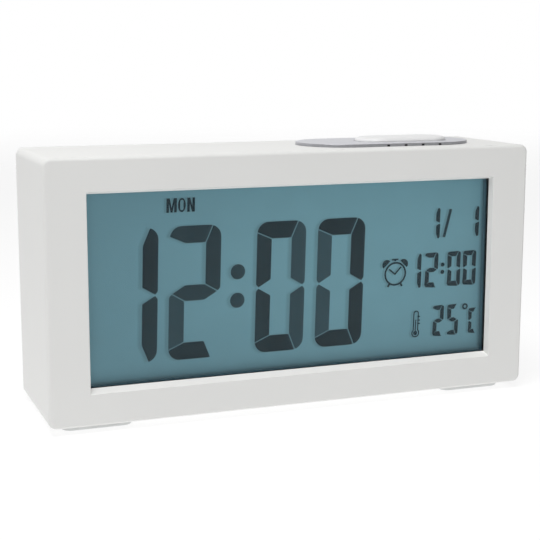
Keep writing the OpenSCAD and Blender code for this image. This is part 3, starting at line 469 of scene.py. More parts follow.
def display_face(name, edge, middle, shade=None):
    """Polarising film over liquid crystal: pearly, matt, clouded over 6 mm. With shade, the film where the
    figures throw their soft shadow, deepened by the tone of each point."""
    material, tree, place = blank(name)
    base = face_tint(tree, place, edge, middle)
    pearl = add(tree, "TexNoise", {"Vector": place, "Scale": 1 / (6 * MM), "Detail": 6.0}).outputs[0]
    dimming = add(tree, "MapRange", {"Value": pearl, "To Min": 0.955, "To Max": 1.045}).outputs[0]
    if shade is not None:
        tone = add(tree, "Attribute", attribute_name="tone").outputs["Fac"]
        depth = add(tree, "MapRange", {"Value": tone, "To Min": 1.0, "To Max": shade}).outputs[0]
        dimming = add(tree, "Math", {0: dimming, 1: depth}, operation="MULTIPLY").outputs[0]
    clouded = add(tree, "VectorMath", {0: base, "Scale": dimming}, operation="SCALE").outputs[0]
    # painted light: the film glows faintly with its own colour, which lifts it and evens out the shade of
    # its recess
    finish(tree, {"Base Color": clouded, "Roughness": 0.45, "IOR": 1.25, "Emission Color": clouded,
                  "Emission Strength": 0.22}, pearl, 0.002)
    return material


def display_figures(name, dark, light):
    """Switched liquid crystal: each segment's tone runs from dark to light, with a faint drift."""
    material, tree, place = blank(name)
    tone = add(tree, "Attribute", attribute_name="tone").outputs["Fac"]
    drift = add(tree, "TexNoise", {"Vector": place, "Scale": 1 / (9 * MM)}).outputs[0]
    share = add(tree, "MapRange", {"Value": drift, "To Min": -0.12, "To Max": 0.12}).outputs[0]
    level = add(tree, "Math", {0: tone, 1: share}, operation="ADD", use_clamp=True).outputs[0]
    base = add(tree, "Mix", {0: level, 6: dark, 7: light}, data_type="RGBA").outputs[2]
    finish(tree, {"Base Color": base, "Roughness": 0.5, "IOR": 1.2})
    return material


def clear_sheet(name, tint, ior, haze):
    """Clear cast acrylic with a thin anti-glare coat: see-through, with a mirror part that grows at a slant
    and a faint waviness over 25 mm."""
    material, tree, place = blank(name)
    wavy = add(tree, "TexNoise", {"Vector": place, "Scale": 1 / (25 * MM)}).outputs[0]
    normal = add(tree, "Bump", {"Height": wavy, "Distance": 0.02 * MM, "Strength": 1.0}).outputs[0]
    share = add(tree, "Fresnel", {"IOR": ior, "Normal": normal}).outputs[0]
    mirror = add(tree, "BsdfGlossy", {"Color": (1, 1, 1), "Roughness": haze, "Normal": normal}).outputs[0]
    through = add(tree, "BsdfTransparent", {"Color": tint}).outputs[0]
    blend = add(tree, "MixShader", {0: share, 1: through, 2: mirror}).outputs[0]
    add(tree, "OutputMaterial", {"Surface": blend})
    return material


def gasket_foam(name, black, lit):
    """Closed-cell foam: fine open pores, black at the front and paler next to the display, painted light
    that stands in for the display's light on its inner wall."""
    material, tree, place = blank(name)
    low, high = box_mm("window_gasket")
    depth = add(tree, "SeparateXYZ", {0: place}).outputs[1]
    palest = 0.4 * low[1] + 0.6 * high[1]  # depth from which the foam is palest, in millimetres
    share = add(tree, "MapRange", {"Value": depth, "From Min": low[1] * MM, "From Max": palest * MM},
                interpolation_type="SMOOTHSTEP").outputs[0]
    pores = add(tree, "TexVoronoi", {"Vector": place, "Scale": 1 / (0.3 * MM)}).outputs[0]
    base = add(tree, "Mix", {0: share, 6: black, 7: lit}, data_type="RGBA").outputs[2]
    finish(tree, {"Base Color": base, "Roughness": 0.85}, pores, 0.05)
    return material


def light_guide(name, tint, dot):
    """Acrylic plate with a printed grid of white dots 1.6 mm apart that throw the light forward."""
    material, tree, place = blank(name)
    cells = add(tree, "TexVoronoi", {"Vector": place, "Scale": 1 / (1.6 * MM), "Randomness": 0.0}).outputs[0]
    ink = add(tree, "MapRange", {"Value": cells, "From Min": 0.2, "From Max": 0.26,
                                 "To Min": 1.0, "To Max": 0.0}).outputs[0]
    base = add(tree, "Mix", {0: ink, 6: tint, 7: dot}, data_type="RGBA").outputs[2]
    finish(tree, {"Base Color": base, "Roughness": 0.12, "IOR": 1.49}, ink, 0.01)
    return material


def cell_sleeve(name, steel, band, label):
    """Steel can in a shrunk plastic sleeve: tone counts from the positive end, bare steel on both ends,
    a bright band over the first third and the label colour on the rest."""
    material, tree, place = blank(name)
    tone = add(tree, "Attribute", attribute_name="tone").outputs["Fac"]
    sleeve = add(tree, "MapRange", {"Value": tone, "From Min": 0.038, "From Max": 0.042}).outputs[0]
    end = add(tree, "MapRange", {"Value": tone, "From Min": 0.978, "From Max": 0.982}).outputs[0]
    printed = add(tree, "MapRange", {"Value": tone, "From Min": 0.3, "From Max": 0.305}).outputs[0]
    rule = add(tree, "MapRange", {"Value": tone, "From Min": 0.33, "From Max": 0.335,
                                  "To Min": 1.0, "To Max": 0.0}).outputs[0]
    film = add(tree, "Mix", {0: printed, 6: band, 7: label}, data_type="RGBA").outputs[2]
    line = add(tree, "Math", {0: printed, 1: rule}, operation="MULTIPLY").outputs[0]
    film = add(tree, "Mix", {0: line, 6: film, 7: (0.7, 0.7, 0.68)}, data_type="RGBA").outputs[2]
    covered = add(tree, "Math", {0: sleeve, 1: end}, operation="SUBTRACT").outputs[0]
    wrinkle = add(tree, "TexNoise", {"Vector": place, "Scale": 1 / (3 * MM), "Detail": 3.0}).outputs[0]
    bare = add(tree, "MapRange", {"Value": covered, "To Min": 1.0, "To Max": 0.35}).outputs[0]
    gloss = add(tree, "MapRange", {"Value": wrinkle, "To Min": 0.24, "To Max": 0.34}).outputs[0]
    base = add(tree, "Mix", {0: covered, 6: steel, 7: film}, data_type="RGBA").outputs[2]
    finish(tree, {"Base Color": base, "Metallic": bare, "Roughness": gloss}, wrinkle, 0.01)
    return material


def lead_pair(name, negative, positive):
    """Flexible PVC insulation: the negative lead on the left and the positive lead on the right."""
    material, tree, place = blank(name)
    x = add(tree, "SeparateXYZ", {0: place}).outputs[0]
    right = add(tree, "Math", {0: x, 1: 0.0}, operation="GREATER_THAN").outputs[0]
    skin = add(tree, "TexNoise", {"Vector": place, "Scale": 1 / (1.5 * MM)}).outputs[0]
    base = add(tree, "Mix", {0: right, 6: negative, 7: positive}, data_type="RGBA").outputs[2]
    finish(tree, {"Base Color": base, "Roughness": 0.42}, skin, 0.02)
    return material


# --- settings ---

class CaseSettings(bpy.types.PropertyGroup):
    """Colours and edges of the moulded case."""
    shell: colour("Case", "White of the moulded case, cover and door", "F1F1EF")
    feet: colour("Feet", "White of the four feet", "DEE0DF")
    edge: length("Edge", "Rounding of the case's sharp edges", 0.22, min=0.00005, max=0.0004)
    foot_edge: length("Foot edge", "Rounding under each foot", 0.6, min=0.0002, max=0.001)


class DisplaySettings(bpy.types.PropertyGroup):
    """Figures on the display and the tint of its face."""
    # the middle tint is lighter than the rim tint as painted light on the display
    edge: colour("Face rim", "Tint of the unlit display near its rim", "79A4B2")
    middle: colour("Face middle", "Tint of the unlit display at its middle", "86B5C3")
    dark: colour("Dark segments", "Darkest segments", "263E48")
    light: colour("Pale segments", "Palest segments", "50707C")
    digit_height: length("Digit height", "Height of the time's digits", 37.8)
    digit_width: length("Digit width", "Width of the time's digits", 14.95)
    bar: length("Bar", "Thickness of the time's bars", 4.4)
    gap: length("Gap", "Gap between two lit bars", 0.28)
    lean: FloatProperty(name="Lean", description="Slant of the figures to the right", subtype="ANGLE",
                        unit="ROTATION", default=math.radians(1.58))
    shadow: length("Shadow", "How far to the left the figures' shadow falls", 0.9)


class TopSettings(bpy.types.PropertyGroup):
    """Silver panel and snooze button."""
    panel: colour("Panel", "Silver paint of the panel", "E2E3E9")
    button: colour("Button", "White of the snooze button", "F2F2F2")
    button_edge: length("Button edge", "Width of the rounding of the button's top edge", 1.9)
    button_drop: length("Button drop", "Height of that rounding", 1.15)
    crown: length("Crown", "How much the button's top rises to its middle", 0.04)


class RearSettings(bpy.types.PropertyGroup):
    """Keys on the back and cells behind the door."""
    keys: colour("Keys", "Pale grey of the rear keys", "E4E5E6")
    label: colour("Cell label", "Main colour of the cells' sleeves", "3F6F58")
    dish: length("Dish", "Hollow of a key's top", 0.15)
    spring_turns: IntProperty(name="Turns", description="Turns of a contact spring", default=4, min=2, max=8)


def power(name, description, watts):
    """Power setting of a lamp, in watts."""
    return FloatProperty(name=name, description=description, unit="POWER", min=0, default=watts)


class StudioSettings(bpy.types.PropertyGroup):
    """Light and floor."""
    floor: colour("Floor", "Grey paint of the light table", "8F8F8F")
    glow: FloatProperty(name="Table glow", description="Light that the table gives off itself", default=0.78)
    ambient: FloatProperty(name="Ambient", description="Strength of the light from all around", default=0.1)
    backdrop: FloatProperty(name="Backdrop", description="What is added to it straight behind", default=0.85)
    overhead: power("Overhead", "Power of the soft light above and in front", 5.6)
    left: power("Left", "Power of the soft light on the left", 0.5)


SETTINGS = {"clock_case": CaseSettings, "clock_display": DisplaySettings, "clock_top": TopSettings,
            "clock_rear": RearSettings, "clock_studio": StudioSettings}


# --- display figures ---

def segments(width, height, bar, gap, corner):
    """Seven bars of a digit, as convex anticlockwise outlines: the digit's rounded frame is cut by slanting
    lines, and each part drawn in by half the gap; the lower half mirrors the upper. In bars: the top one is
    1.09 thick, the middle one's points stand in by 0.155, and the cuts at the top meet the outline 0.66
    below it on the left and 0.557 in from the side on the right."""
    s = gap / 2
    w0, w1, h1 = -s, width + s, height + s
    inner0, inner1, top, mid = bar + s, width - bar - s, height - 1.09 * bar - s, height / 2
    radius = corner * bar + s
    tip, rise, slope = 0.155 * bar, 0.24 * bar, 0.588
    shoulder = mid + (inner0 - tip) * slope
    half_mid = bar / 2 + s
    left_end = 180 - math.degrees(math.asin(max(-1, min(1, (radius - s - 0.66 * bar) / radius))))
    right_end = math.degrees(math.acos(max(-1, min(1, (radius - s - 0.557 * bar) / radius))))
    left, right, high = w0 + radius, w1 - radius, h1 - radius
    bars = {
        "a": np.vstack(([(inner0, top), (inner1, top)], arc((right, high), radius, right_end, 90, 3),
                        arc((left, high), radius, 90, left_end, 10))),
        "b": np.vstack(([(inner1, top), (inner1, shoulder), (width - tip, mid), (w1, mid + rise)],
                        arc((right, high), radius, 0, right_end, 9))),
        "f": np.vstack(([(w0, mid + rise), (tip, mid), (inner0, shoulder), (inner0, top)],
                        arc((left, high), radius, left_end, 180, 3))),
    }
    flip = np.array([1, -1])
    for upper, lower in (("a", "d"), ("b", "c"), ("f", "e")):
        bars[lower] = (bars[upper] * flip + (0, height))[::-1]
    reach = tip + half_mid / slope
    bars["g"] = np.array([(tip, mid), (reach, mid - half_mid), (width - reach, mid - half_mid),
                          (width - tip, mid), (width - reach, mid + half_mid), (reach, mid + half_mid)])
    return {name: grown(loop, -s) for name, loop in bars.items()}


DIGITS = {"0": "abcdef", "1": "bc", "2": "abged", "5": "afgcd", "C": "afed"}
BASELINE = 17.2  # height of the time's baseline, in millimetres as all figures are


def time_figures(settings):
    """Outlines and tones of the time: four digits on a common baseline and two discs of the colon."""
    width, height = settings.digit_width / MM, settings.digit_height / MM
    corner, lefts, darkest = 0.773, (-56.4, -38.2, -12.5, 6.2), 0.05
    bars = segments(width, height, settings.bar / MM, settings.gap / MM, corner)
    # one set per digit; a bar that isn't named has the darkest tone
    tones = ({"b": 0.0, "c": 0.15}, {"a": 0.3, "b": 0.25, "g": 0.35, "e": 0.55, "d": 0.1},
             {"b": 0.75, "c": 0.7}, {"e": 0.7, "f": 0.75})
    made = []
    for x, digit, tone in zip(lefts, "1200", tones):
        made += [(bars[bar] + (x, BASELINE), [], tone.get(bar, darkest)) for bar in DIGITS[digit]]
    colon_x, colon_radius, colon_heights = -18.05, 2.165, (41.2, 33.0)
    made += [(disc((colon_x, z), colon_radius, 24), [], 0.5) for z in colon_heights]
    return made


def small_figures():
    """Outlines, holes and tones of the alarm time, temperature and date."""
    made = []
    gap, corner, tone, dot_radius = 0.2, 0.5, 0.15, 0.66
    # characters, their left edges, their baseline, and each one's width, height and bar
    for text, xs, z, width, height, bar in (
            ("12", (36.35, 42.05), 32.7, 4.35, 10.4, 1.3), ("00", (49.65, 55.0), 32.7, 4.35, 10.4, 1.3),
            ("25", (45.1, 50.05), 17.5, 3.65, 9.3, 1.25), ("C", (57.4,), 17.5, 2.9, 7.7, 1.05),
            ("11", (42.35, 55.65), 47.4, 4.35, 9.2, 1.3)):
        bars = segments(width, height, bar, gap, corner)
        for digit, x in zip(text, xs):
            made += [(bars[b] + (x, z), [], tone) for b in DIGITS[digit]]
    made += [(disc(dot, dot_radius, 12), [], 0.2) for dot in ((48.0, 39.35), (47.95, 37.1))]
    degree, slash = (56.05, 25.9), [(48.15, 47.7), (50.1, 56.1)]
    made.append((stroke(slash, 0.9), [], 0.35))
    made.append((disc(degree, 0.98, 24), [disc(degree, 0.46, 24)], 0.2))
    return made


def bell(centre, towards, radius):
    """Half disc with its flat side to the middle of the pictogram."""
    return arc(centre, radius, towards - 90, towards + 90, 10)


def pictograms():
    """Alarm clock and thermometer, drawn with even strokes."""
    cx, cz = 32.05, 37.5
    # the clock's rim, outside and inside, and how far out, at which slant and how large its bells are
    outer, inner, bell_reach, slant, bell_radius = 3.58, 3.05, 3.95, 44, 1.5
    made = [(disc((cx, cz), outer, 36), [disc((cx, cz), inner, 36)], 0.1)]
    for side in (-1, 1):
        angle = 90 - side * slant
        turned = math.radians(angle)
        spot = (cx + bell_reach * math.cos(turned), cz + bell_reach * math.sin(turned))
        made.append((bell(spot, angle, bell_radius), [], 0.15))
    # feet, handle, its stem and the two hands: path about the clock's centre, width, tone
    for path, width, tone in (([(-1.8, -2.95), (-2.35, -3.85)], 0.62, 0.15),
                              ([(1.8, -2.95), (2.35, -3.85)], 0.62, 0.15),
                              ([(-1.05, 4.3), (1.05, 4.3)], 0.5, 0.2),
                              ([(0, 3.8), (0, 4.15)], 0.6, 0.3),
                              ([(-2.0, 1.45), (-0.05, -0.1), (1.9, 2.0)], 0.46, 0.1)):
        made.append((stroke(np.array(path) + (cx, cz), width), [], tone))
    # thermometer: middle and radius of its bulb, half the width of its tube, the tube's top, its wall
    bulb, radius, half, top, wall = (39.2, 18.9), 1.33, 0.92, 24.9, 0.37
    dip = math.degrees(math.asin(half / radius))
    case = np.vstack((arc(bulb, radius, 90 + dip, 450 - dip, 26), arc((bulb[0], top), half, 0, 180, 12)))
    made.append((case, [grown(case, -wall)], 0.25))
    made.append((disc(bulb, 0.68, 24), [], 0.2))
    # the column, and the scale's three marks beside the tube
    made.append((stroke([(bulb[0], 19.5), (bulb[0], 23.0)], 0.4), [], 0.6))
    made += [(stroke([(40.17, z), (40.75, z)], 0.4), [], 0.35) for z in (21.8, 22.8, 23.9)]
    return made


def weekday():
    """Capitals M, O and N on one foot line; the O is an ellipse with a rounded hole."""
    height, stem, foot, tone = 3.95, 0.72, 58.9, 0.05
    # left edge and outline of M and N: x in millimetres, z as a share of the height
    letters = (
        (-38.15, [(0, 0), (stem, 0), (stem, 0.62), (1.2, 0), (1.75, 0), (2.23, 0.62), (2.23, 0), (2.95, 0),
                  (2.95, 1), (2.05, 1), (1.475, 0.33), (0.9, 1), (0, 1)]),
        (-32.2, [(0, 0), (stem, 0), (stem, 0.6), (1.43, 0), (2.2, 0), (2.2, 1), (1.48, 1), (1.48, 0.4),
                 (0.77, 1), (0, 1)]))
    m, n = ((np.array(outline) * (1, height) + (x, foot), [], tone) for x, outline in letters)
    middle, half_width = (-33.75, foot + height / 2), 1.12
    hole = rounded(0.94, height - 1.1, 0.45, 6, middle)
    return [m, (disc((0, 0), 1, 24) * (half_width, height / 2) + middle, [hole], tone), n]


def leaning(loop, settings, base):
    """Outline slanted to the right about its baseline."""
    return loop + np.column_stack(((loop[:, 1] - base) * math.tan(settings.lean), np.zeros(len(loop))))


# --- operators ---

class CLOCK_OT_stage(bpy.types.Operator):
    """Camera, floor, soft lights and a white surround"""
    bl_idname = "clock.stage"
    bl_label = "Stage"

    def execute(self, context):
        settings = context.scene.clock_studio
        self.camera(context)
        self.floor(context, settings)
        self.surround(context, settings)
        for name, spot, size in (("overhead", (-185, -260, 790), 500), ("left", (-720, 300, 300), 400)):
            data = bpy.data.lights.new(name, "AREA")
            data.energy, data.size = getattr(settings, name), size * MM
            lamp = bpy.data.objects.new(name, data)
            context.scene.collection.objects.link(lamp)
            lamp.location = np.array(spot) * MM
            lamp.rotation_euler = (-lamp.location).to_track_quat("-Z", "Y").to_euler()
        return {"FINISHED"}

    def camera(self, context):
        """Pinhole solved on the case's straight edges: place, turn, focal length and middle point."""
        yaw, pitch, roll = math.radians(21.052), math.radians(9.761), 0.0021
        focal, middle, side = 1238.169, (273.054, 263.751), 540
        eye, level = np.array((-131.84, -339.324, 102.758)), math.cos(pitch)
        ahead = np.array((math.sin(yaw) * level, math.cos(yaw) * level, -math.sin(pitch)))
        right = np.array((math.cos(yaw), -math.sin(yaw), 0))
        up = np.cross(right, ahead)
        turned = math.cos(roll) * right + math.sin(roll) * up, math.cos(roll) * up - math.sin(roll) * right
        data = bpy.data.cameras.new("camera")
        data.sensor_width, data.lens = 36, 36 * focal / side
        data.shift_x, data.shift_y = (side / 2 - middle[0]) / side, (middle[1] - side / 2) / side
        data.clip_start, data.clip_end = 0.01, 20
        camera = bpy.data.objects.new("camera", data)
        context.scene.collection.objects.link(camera)
        matrix = np.eye(4)
        matrix[:3, :3] = np.column_stack((*turned, -ahead))
        matrix[:3, 3] = eye * MM
        camera.matrix_world = Matrix(matrix.tolist())
        context.scene.camera = camera
        context.scene.view_settings.view_transform = "Standard"

    def floor(self, context, settings):
        """Round light table whose paint glows faintly and thins out to nothing at its rim, so that no
        horizon shows."""
        shell = Shell()
        shell.grid(lathe([(0, ring) for ring in (0.001, 300, 600, 1200, 2400)], 64))
        mesh = bpy.data.meshes.new("floor")
        mesh.from_pydata(np.concatenate(shell.points) * MM, [], shell.faces)
        material, tree, place = blank("glowing_matt_paint")
        away = add(tree, "VectorMath", {0: place}, operation="LENGTH").outputs[1]
        thin = add(tree, "MapRange", {"Value": away, "From Min": 0.25, "From Max": 1.4},
                   interpolation_type="SMOOTHSTEP").outputs[0]
        paint = add(tree, "BsdfDiffuse", {"Color": settings.floor}).outputs[0]
        glow = add(tree, "Emission", {"Strength": settings.glow}).outputs[0]
        lit = add(tree, "AddShader", {0: paint, 1: glow}).outputs[0]
        none = add(tree, "BsdfTransparent").outputs[0]
        table = add(tree, "MixShader", {0: thin, 1: lit, 2: none}).outputs[0]
        add(tree, "OutputMaterial", {"Surface": table})
        mesh.materials.append(material)
        floor = bpy.data.objects.new("floor", mesh)
        context.scene.collection.objects.link(floor)

    def surround(self, context, settings):
        """White as the camera sees it; as a light it is dim, and grows towards the backdrop behind the
        clock, which shows as the sheen along the top."""
        world = bpy.data.worlds.new("studio")
        world.use_nodes = True
        tree = world.node_tree
        tree.nodes.clear()
        way = add(tree, "SeparateXYZ", {0: add(tree, "TexCoord").outputs["Generated"]}).outputs
        behind = add(tree, "MapRange", {"Value": way[1]}).outputs[0]
        narrow = add(tree, "Math", {0: behind, 1: 2.0}, operation="POWER").outputs[0]
        light = add(tree, "MapRange", {"Value": narrow, "To Min": settings.ambient,
                                       "To Max": settings.ambient + settings.backdrop}).outputs[0]
        seen = add(tree, "LightPath").outputs["Is Camera Ray"]
        strength = add(tree, "MapRange", {"Value": seen, "To Min": light, "To Max": 1.0}).outputs[0]
        glow = add(tree, "Background", {"Color": (1, 1, 1), "Strength": strength}).outputs[0]
        add(tree, "OutputWorld", {"Surface": glow})
        context.scene.world = world


class CLOCK_OT_case(bpy.types.Operator):
    """Moulded case and its four feet"""
    bl_idname = "clock.case"
    bl_label = "Case and feet"

    def execute(self, context):
        settings = context.scene.clock_case
        white = moulded("satin_white_abs", settings.shell, 0.5)
        piece("front_case_shell", softened("front_case", settings.edge / MM), white,
              replaces=["front_case"])
        grey = moulded("pale_foot_plastic", settings.feet, 0.55, grain=0.7, relief=0.01)
        for node in ("foot_front_left", "foot_front_right", "foot_rear_left", "foot_rear_right"):
            low, high = box_mm(node)
            middle, size, edge = (low + high) / 2, high - low, settings.foot_edge / MM
            corner, nick = 2.8, 0.1  # rounding of the foot's outline, and chamfer against the case
            loop = rounded(size[0], size[1], corner, 10, middle[:2])
            shell = Shell()
            shell.solid(swept(loop, np.vstack(([(-nick, high[2]), (0, high[2] - nick)],
                                               turn(0, low[2], -edge, edge)))))
            piece(node + "_pad", mesh_of(node + "_pad", shell), grey, replaces=[node])
        return {"FINISHED"}


class CLOCK_OT_display(bpy.types.Operator):
    """Clear window, display face, figures and their soft shadow"""
    bl_idname = "clock.display"
    bl_label = "Display"

    def execute(self, context):
        self.window()
        self.figures(context.scene.clock_display)
        return {"FINISHED"}

    def window(self):
        """Pane with a fine bevel along both faces."""
        low, high = box_mm("display_window")
        middle, size = (low + high) / 2, high - low
        corner, bevel = 1, 0.12
        loop = rounded(size[0], size[2], corner, 6, (middle[0], middle[2]))
        near, far = low[1] - FRONT, high[1] - FRONT
        pane = Shell()
        pane.solid(swept(loop, np.vstack((turn(0, near, -bevel, bevel, 2)[::-1],
                                          turn(0, far, -bevel, -bevel, 2)))))
        acrylic = clear_sheet("anti_glare_acrylic", linear("F7FAFA"), ior=1.22, haze=0.04)
        piece("window_pane", mesh_of("window_pane", pane, facing), acrylic,
              replaces=["display_window"])

    def figures(self, settings):
        """Figures as thin plates just before the film, and under each one the mound of its shadow. A bar of
        the time is paler, with a darker core where its outline overlaps its own shadow."""
        time, small = time_figures(settings), small_figures()
        # outline, holes, tone, whether it belongs to the time, baseline of its slant, share of the shadow
        drawn = [(loop, holes, tone, True, BASELINE, 1.0) for loop, holes, tone in time]
        drawn += [(loop, holes, tone, False, loop[:, 1].min(), 0.8) for loop, holes, tone in
                  small + pictograms() + weekday()]
        face = box_mm("front_polarizer")[0][1] - FRONT
        back, front, core_back, core_front = face - 0.09, face - 0.14, face - 0.1, face - 0.2
        paler, time_soft, small_soft = 0.16, 0.4, 0.2
        figures, shadows = Shell(), Shell()
        shift = settings.shadow / MM
        for outline, holes, tone, big, base, part in drawn:
            outline = leaning(outline, settings, base)
            holes = [leaning(hole, settings, base) for hole in holes]
            self.plate(figures, outline, holes, back, front, tone + (paler if big else 0))
            if big:
                core = outline
                shifted = outline - (shift, 0)
                edge = np.roll(shifted, -1, 0) - shifted
                for point, way in zip(shifted, edge):
                    core = clipped(core, point, np.array((way[1], -way[0])))
                self.plate(figures, core, [], core_back, core_front, tone)
            self.shadow(shadows, [loop - (shift * part, 0) for loop in (outline, *holes)], face,
                        time_soft if big else small_soft)
        inks = display_figures("switched_liquid_crystal", settings.dark, settings.light)
        piece("display_figures", mesh_of("display_figures", figures, facing), inks)
        film = display_face("shaded_polarizer_film", settings.edge, settings.middle, shade=0.8)
        piece("figure_shadows", mesh_of("figure_shadows", shadows, facing), film)

    def plate(self, shell, outline, holes, back, front, tone):
        """Thin flat plate between two depths, with its holes."""
        for loop in [outline, *holes]:
            shell.grid(swept(loop, [(0, back), (0, front)]), tone)
        shell.sheet(outline, *holes, height=back, tone=tone)
        shell.sheet(outline, *holes, height=front, tone=tone)

    def shadow(self, shell, loops, face, soft):
        """Low mound: height and tone fall evenly to nothing over a soft rim, inwards around its holes."""
        foot, crest, inner = face - 0.005, face - 0.08, 0.35 * soft
        rims = [swept(loop, [(side * soft, foot), (-side * inner, crest)])
                for loop, side in zip(loops, (1, -1, -1))]
        for rim in rims:
            shell.grid(rim, np.array([[0.0], [1.0]]))
        shell.sheet(*[rim[1] for rim in rims], tone=1.0)
        shell.sheet(*[rim[0] for rim in rims], tone=0.0)


BUTTON = (29.2, 13.4)  # length and depth of the snooze button above its flange, in millimetres
BUTTON_AIR = 0.3  # between the button and the panel


class CLOCK_OT_top(bpy.types.Operator):
    """Silver panel with its sound slots, and the snooze button"""
    bl_idname = "clock.top"
    bl_label = "Panel and snooze button"

    def execute(self, context):
        settings = context.scene.clock_top
        # 0A0A0B is the painted shade of the panel's rim and of the inside of its slots
        silver = silver_paint("silver_painted_abs", settings.panel, linear("0A0A0B"))
        white = moulded("gloss_white_abs", settings.button, 0.38, grain=0.6, relief=0.002)
        piece("silver_panel", mesh_of("silver_panel", self.panel()), silver,
              replaces=["top_panel"])
        piece("snooze_cap", mesh_of("snooze_cap", self.button(settings)), white,
              body="snooze_button", replaces=["snooze_button"])
        return {"FINISHED"}

    def panel(self):
        """Stadium plate: below the slots' top its outline has a notch for each slot, above it none."""
        low, high = box_mm("top_panel")
        bottom, slot_top, top = 74.5, 75.75, high[2]
        edge, hole_edge = 0.16, 0.3  # rounding of the outline and of the button's hole
        centre, width, depth = (low + high)[:2] / 2, *(high - low)[:2]
        loop = rounded(width, depth, depth / 2, 24, centre)
        slots = [30.1, 35.75, 41.4, 47.05]
        half, mouth, reach = 0.42, 0.44, 5.7  # half the width of a slot and of its mouth, and its depth
        front = centre[1] - depth / 2
        # the straight front edge runs left to right between the third and the fourth quarter circle
        split = 75
        # that edge bows out by a fiftieth of a millimetre, so that no three of its points are in line
        bow = 0.02
        edges = np.array([(x + s * mouth, front) for x in slots for s in (-1, 1)])
        edges[:, 1] -= bow * (1 - (2 * (edges[:, 0] - centre[0]) / (width - depth)) ** 2)
        plain = np.vstack((loop[:split], edges, loop[split:]))
        lip = 0.12  # depth over which a mouth narrows to its slot
        notch = np.array([[left, (x - half, front + lip), (x - half, front + reach),
                           (x + half, front + reach), (x + half, front + lip), right]
                          for x, left, right in zip(slots, edges[::2], edges[1::2])]).reshape(-1, 2)
        notched = np.vstack((loop[:split], notch, loop[split:]))
        # tones of painted shade on the outline's foot, its rim and a slot's inside: 0 is the full silver
        # coat, 1 is all shade
        foot, rim, inside = 0.6, 0.4, 1.0
        low_dark, dark = np.full(len(notched), foot), np.full(len(notched), rim)
        for row, edge_tone in ((low_dark, foot), (dark, rim)):
            row[split:split + notch.shape[0]] = np.tile((edge_tone, *[inside] * 4, edge_tone), len(slots))
        button = box_mm("snooze_button")
        middle = (button[0] + button[1])[:2] / 2
        opening = np.array(BUTTON) + 2 * BUTTON_AIR
        hole = rounded(*opening, opening[1] / 2, 24, middle)
        shell = Shell()
        shell.sheet(notched, hole, height=bottom, tone=np.concatenate((low_dark, np.full(len(hole), rim))))
        shell.grid(np.stack([lifted(notched, z) for z in (bottom, slot_top)]), np.stack((low_dark, dark)))
        # the slots' ceilings, in painted shade
        for a, b, c, d, e, f in notch.reshape(-1, 6, 2):
            shell.sheet(np.array((a, f, e, b)), height=slot_top, tone=np.array((rim, rim, inside, inside)))
            shell.sheet(np.array((b, e, d, c)), height=slot_top, tone=inside)
        # painted shade covers the rim's lower rows and fades out over its rounding, where it stands in for a
        # highlight
        rise = turn(0, top, -edge, -edge, 4)
        shell.grid(np.concatenate((lifted(plain, slot_top)[None],
                                   self.carried(plain, loop, split, len(edges), rise))),
                   np.array((rim, rim, rim, rim, 0.5 * rim, 0))[:, None])
        # painted shade on the lower part of the button's hole
        inner = swept(hole, np.vstack(([(0, bottom)], turn(0, top, hole_edge, -hole_edge, 4))))
        shell.grid(inner, np.array((rim, rim, rim, 0, 0, 0))[:, None])
        last = self.carried(plain, loop, split, len(edges), rise[-1:])[0]
        shell.sheet(last, inner[-1])
        # the fixing pins, from their chamfered lower ends to inside the plate
        radius, chamfer, lower, upper = 0.8, 0.15, 73.0, 74.9
        for spot in ((14.5, 0.5), (52.99, 10.33)):
            shell.solid(swept(disc(spot, radius, 24), [(-chamfer, lower), (0, lower + chamfer), (0, upper)]))
        return shell

    def carried(self, plain, loop, split, count, profile):
        """Profile carried around the outline; the points added on its straight edge move square to it."""
        rows = []
        for reach, height in profile:
            ring = grown(loop, reach)
            added = plain[split:split + count] + (0, -reach)
            rows.append(lifted(np.vstack((ring[:split], added, ring[split:])), height))
        return np.stack(rows)

    def button(self, settings):
        """Hollow cap: one profile runs up the inside wall, around the flange, up the outside and over the
        crowned top; a stem hangs from the inside of the top."""
        low, high = box_mm("snooze_button")
        centre = (low + high)[:2] / 2
        loop = rounded(*BUTTON, BUTTON[1] / 2, 24, centre)
        skirt, flange, top = 73.2, 74.4, high[2]  # heights of the lower edge, the flange's top and the cap
        # wall thickness, how far the flange stands out, its chamfer and that of the inner edge
        wall, reach, nick, lip = 1.5, 1.5, 0.15, 0.1
        edge, drop, crown = settings.button_edge / MM, settings.button_drop / MM, settings.crown / MM
        ceiling = top - wall
        profile = np.vstack((
            [(-wall, ceiling), (-wall, skirt + lip), (-wall + lip, skirt), (reach - nick, skirt),
             (reach, skirt + nick), (reach, flange - nick), (reach - nick, flange), (0, flange)],
            turn(0, top - crown, -edge, -drop, 12),
            [(-edge - 1.0, top - 0.5 * crown), (-edge - 2.1, top - 0.15 * crown), (-edge - 3.2, top)]))
        rows = swept(loop, profile)
        shell = Shell()
        shell.grid(rows)
        shell.sheet(rows[-1])
        radius, chamfer = 1.8, 0.2
        stem = swept(disc(centre, radius, 48),
                     [(0, ceiling), (0, low[2] + chamfer), (-chamfer, low[2])])
        shell.sheet(rows[0], stem[0])
        shell.grid(stem)
        shell.sheet(stem[-1])
        return shell


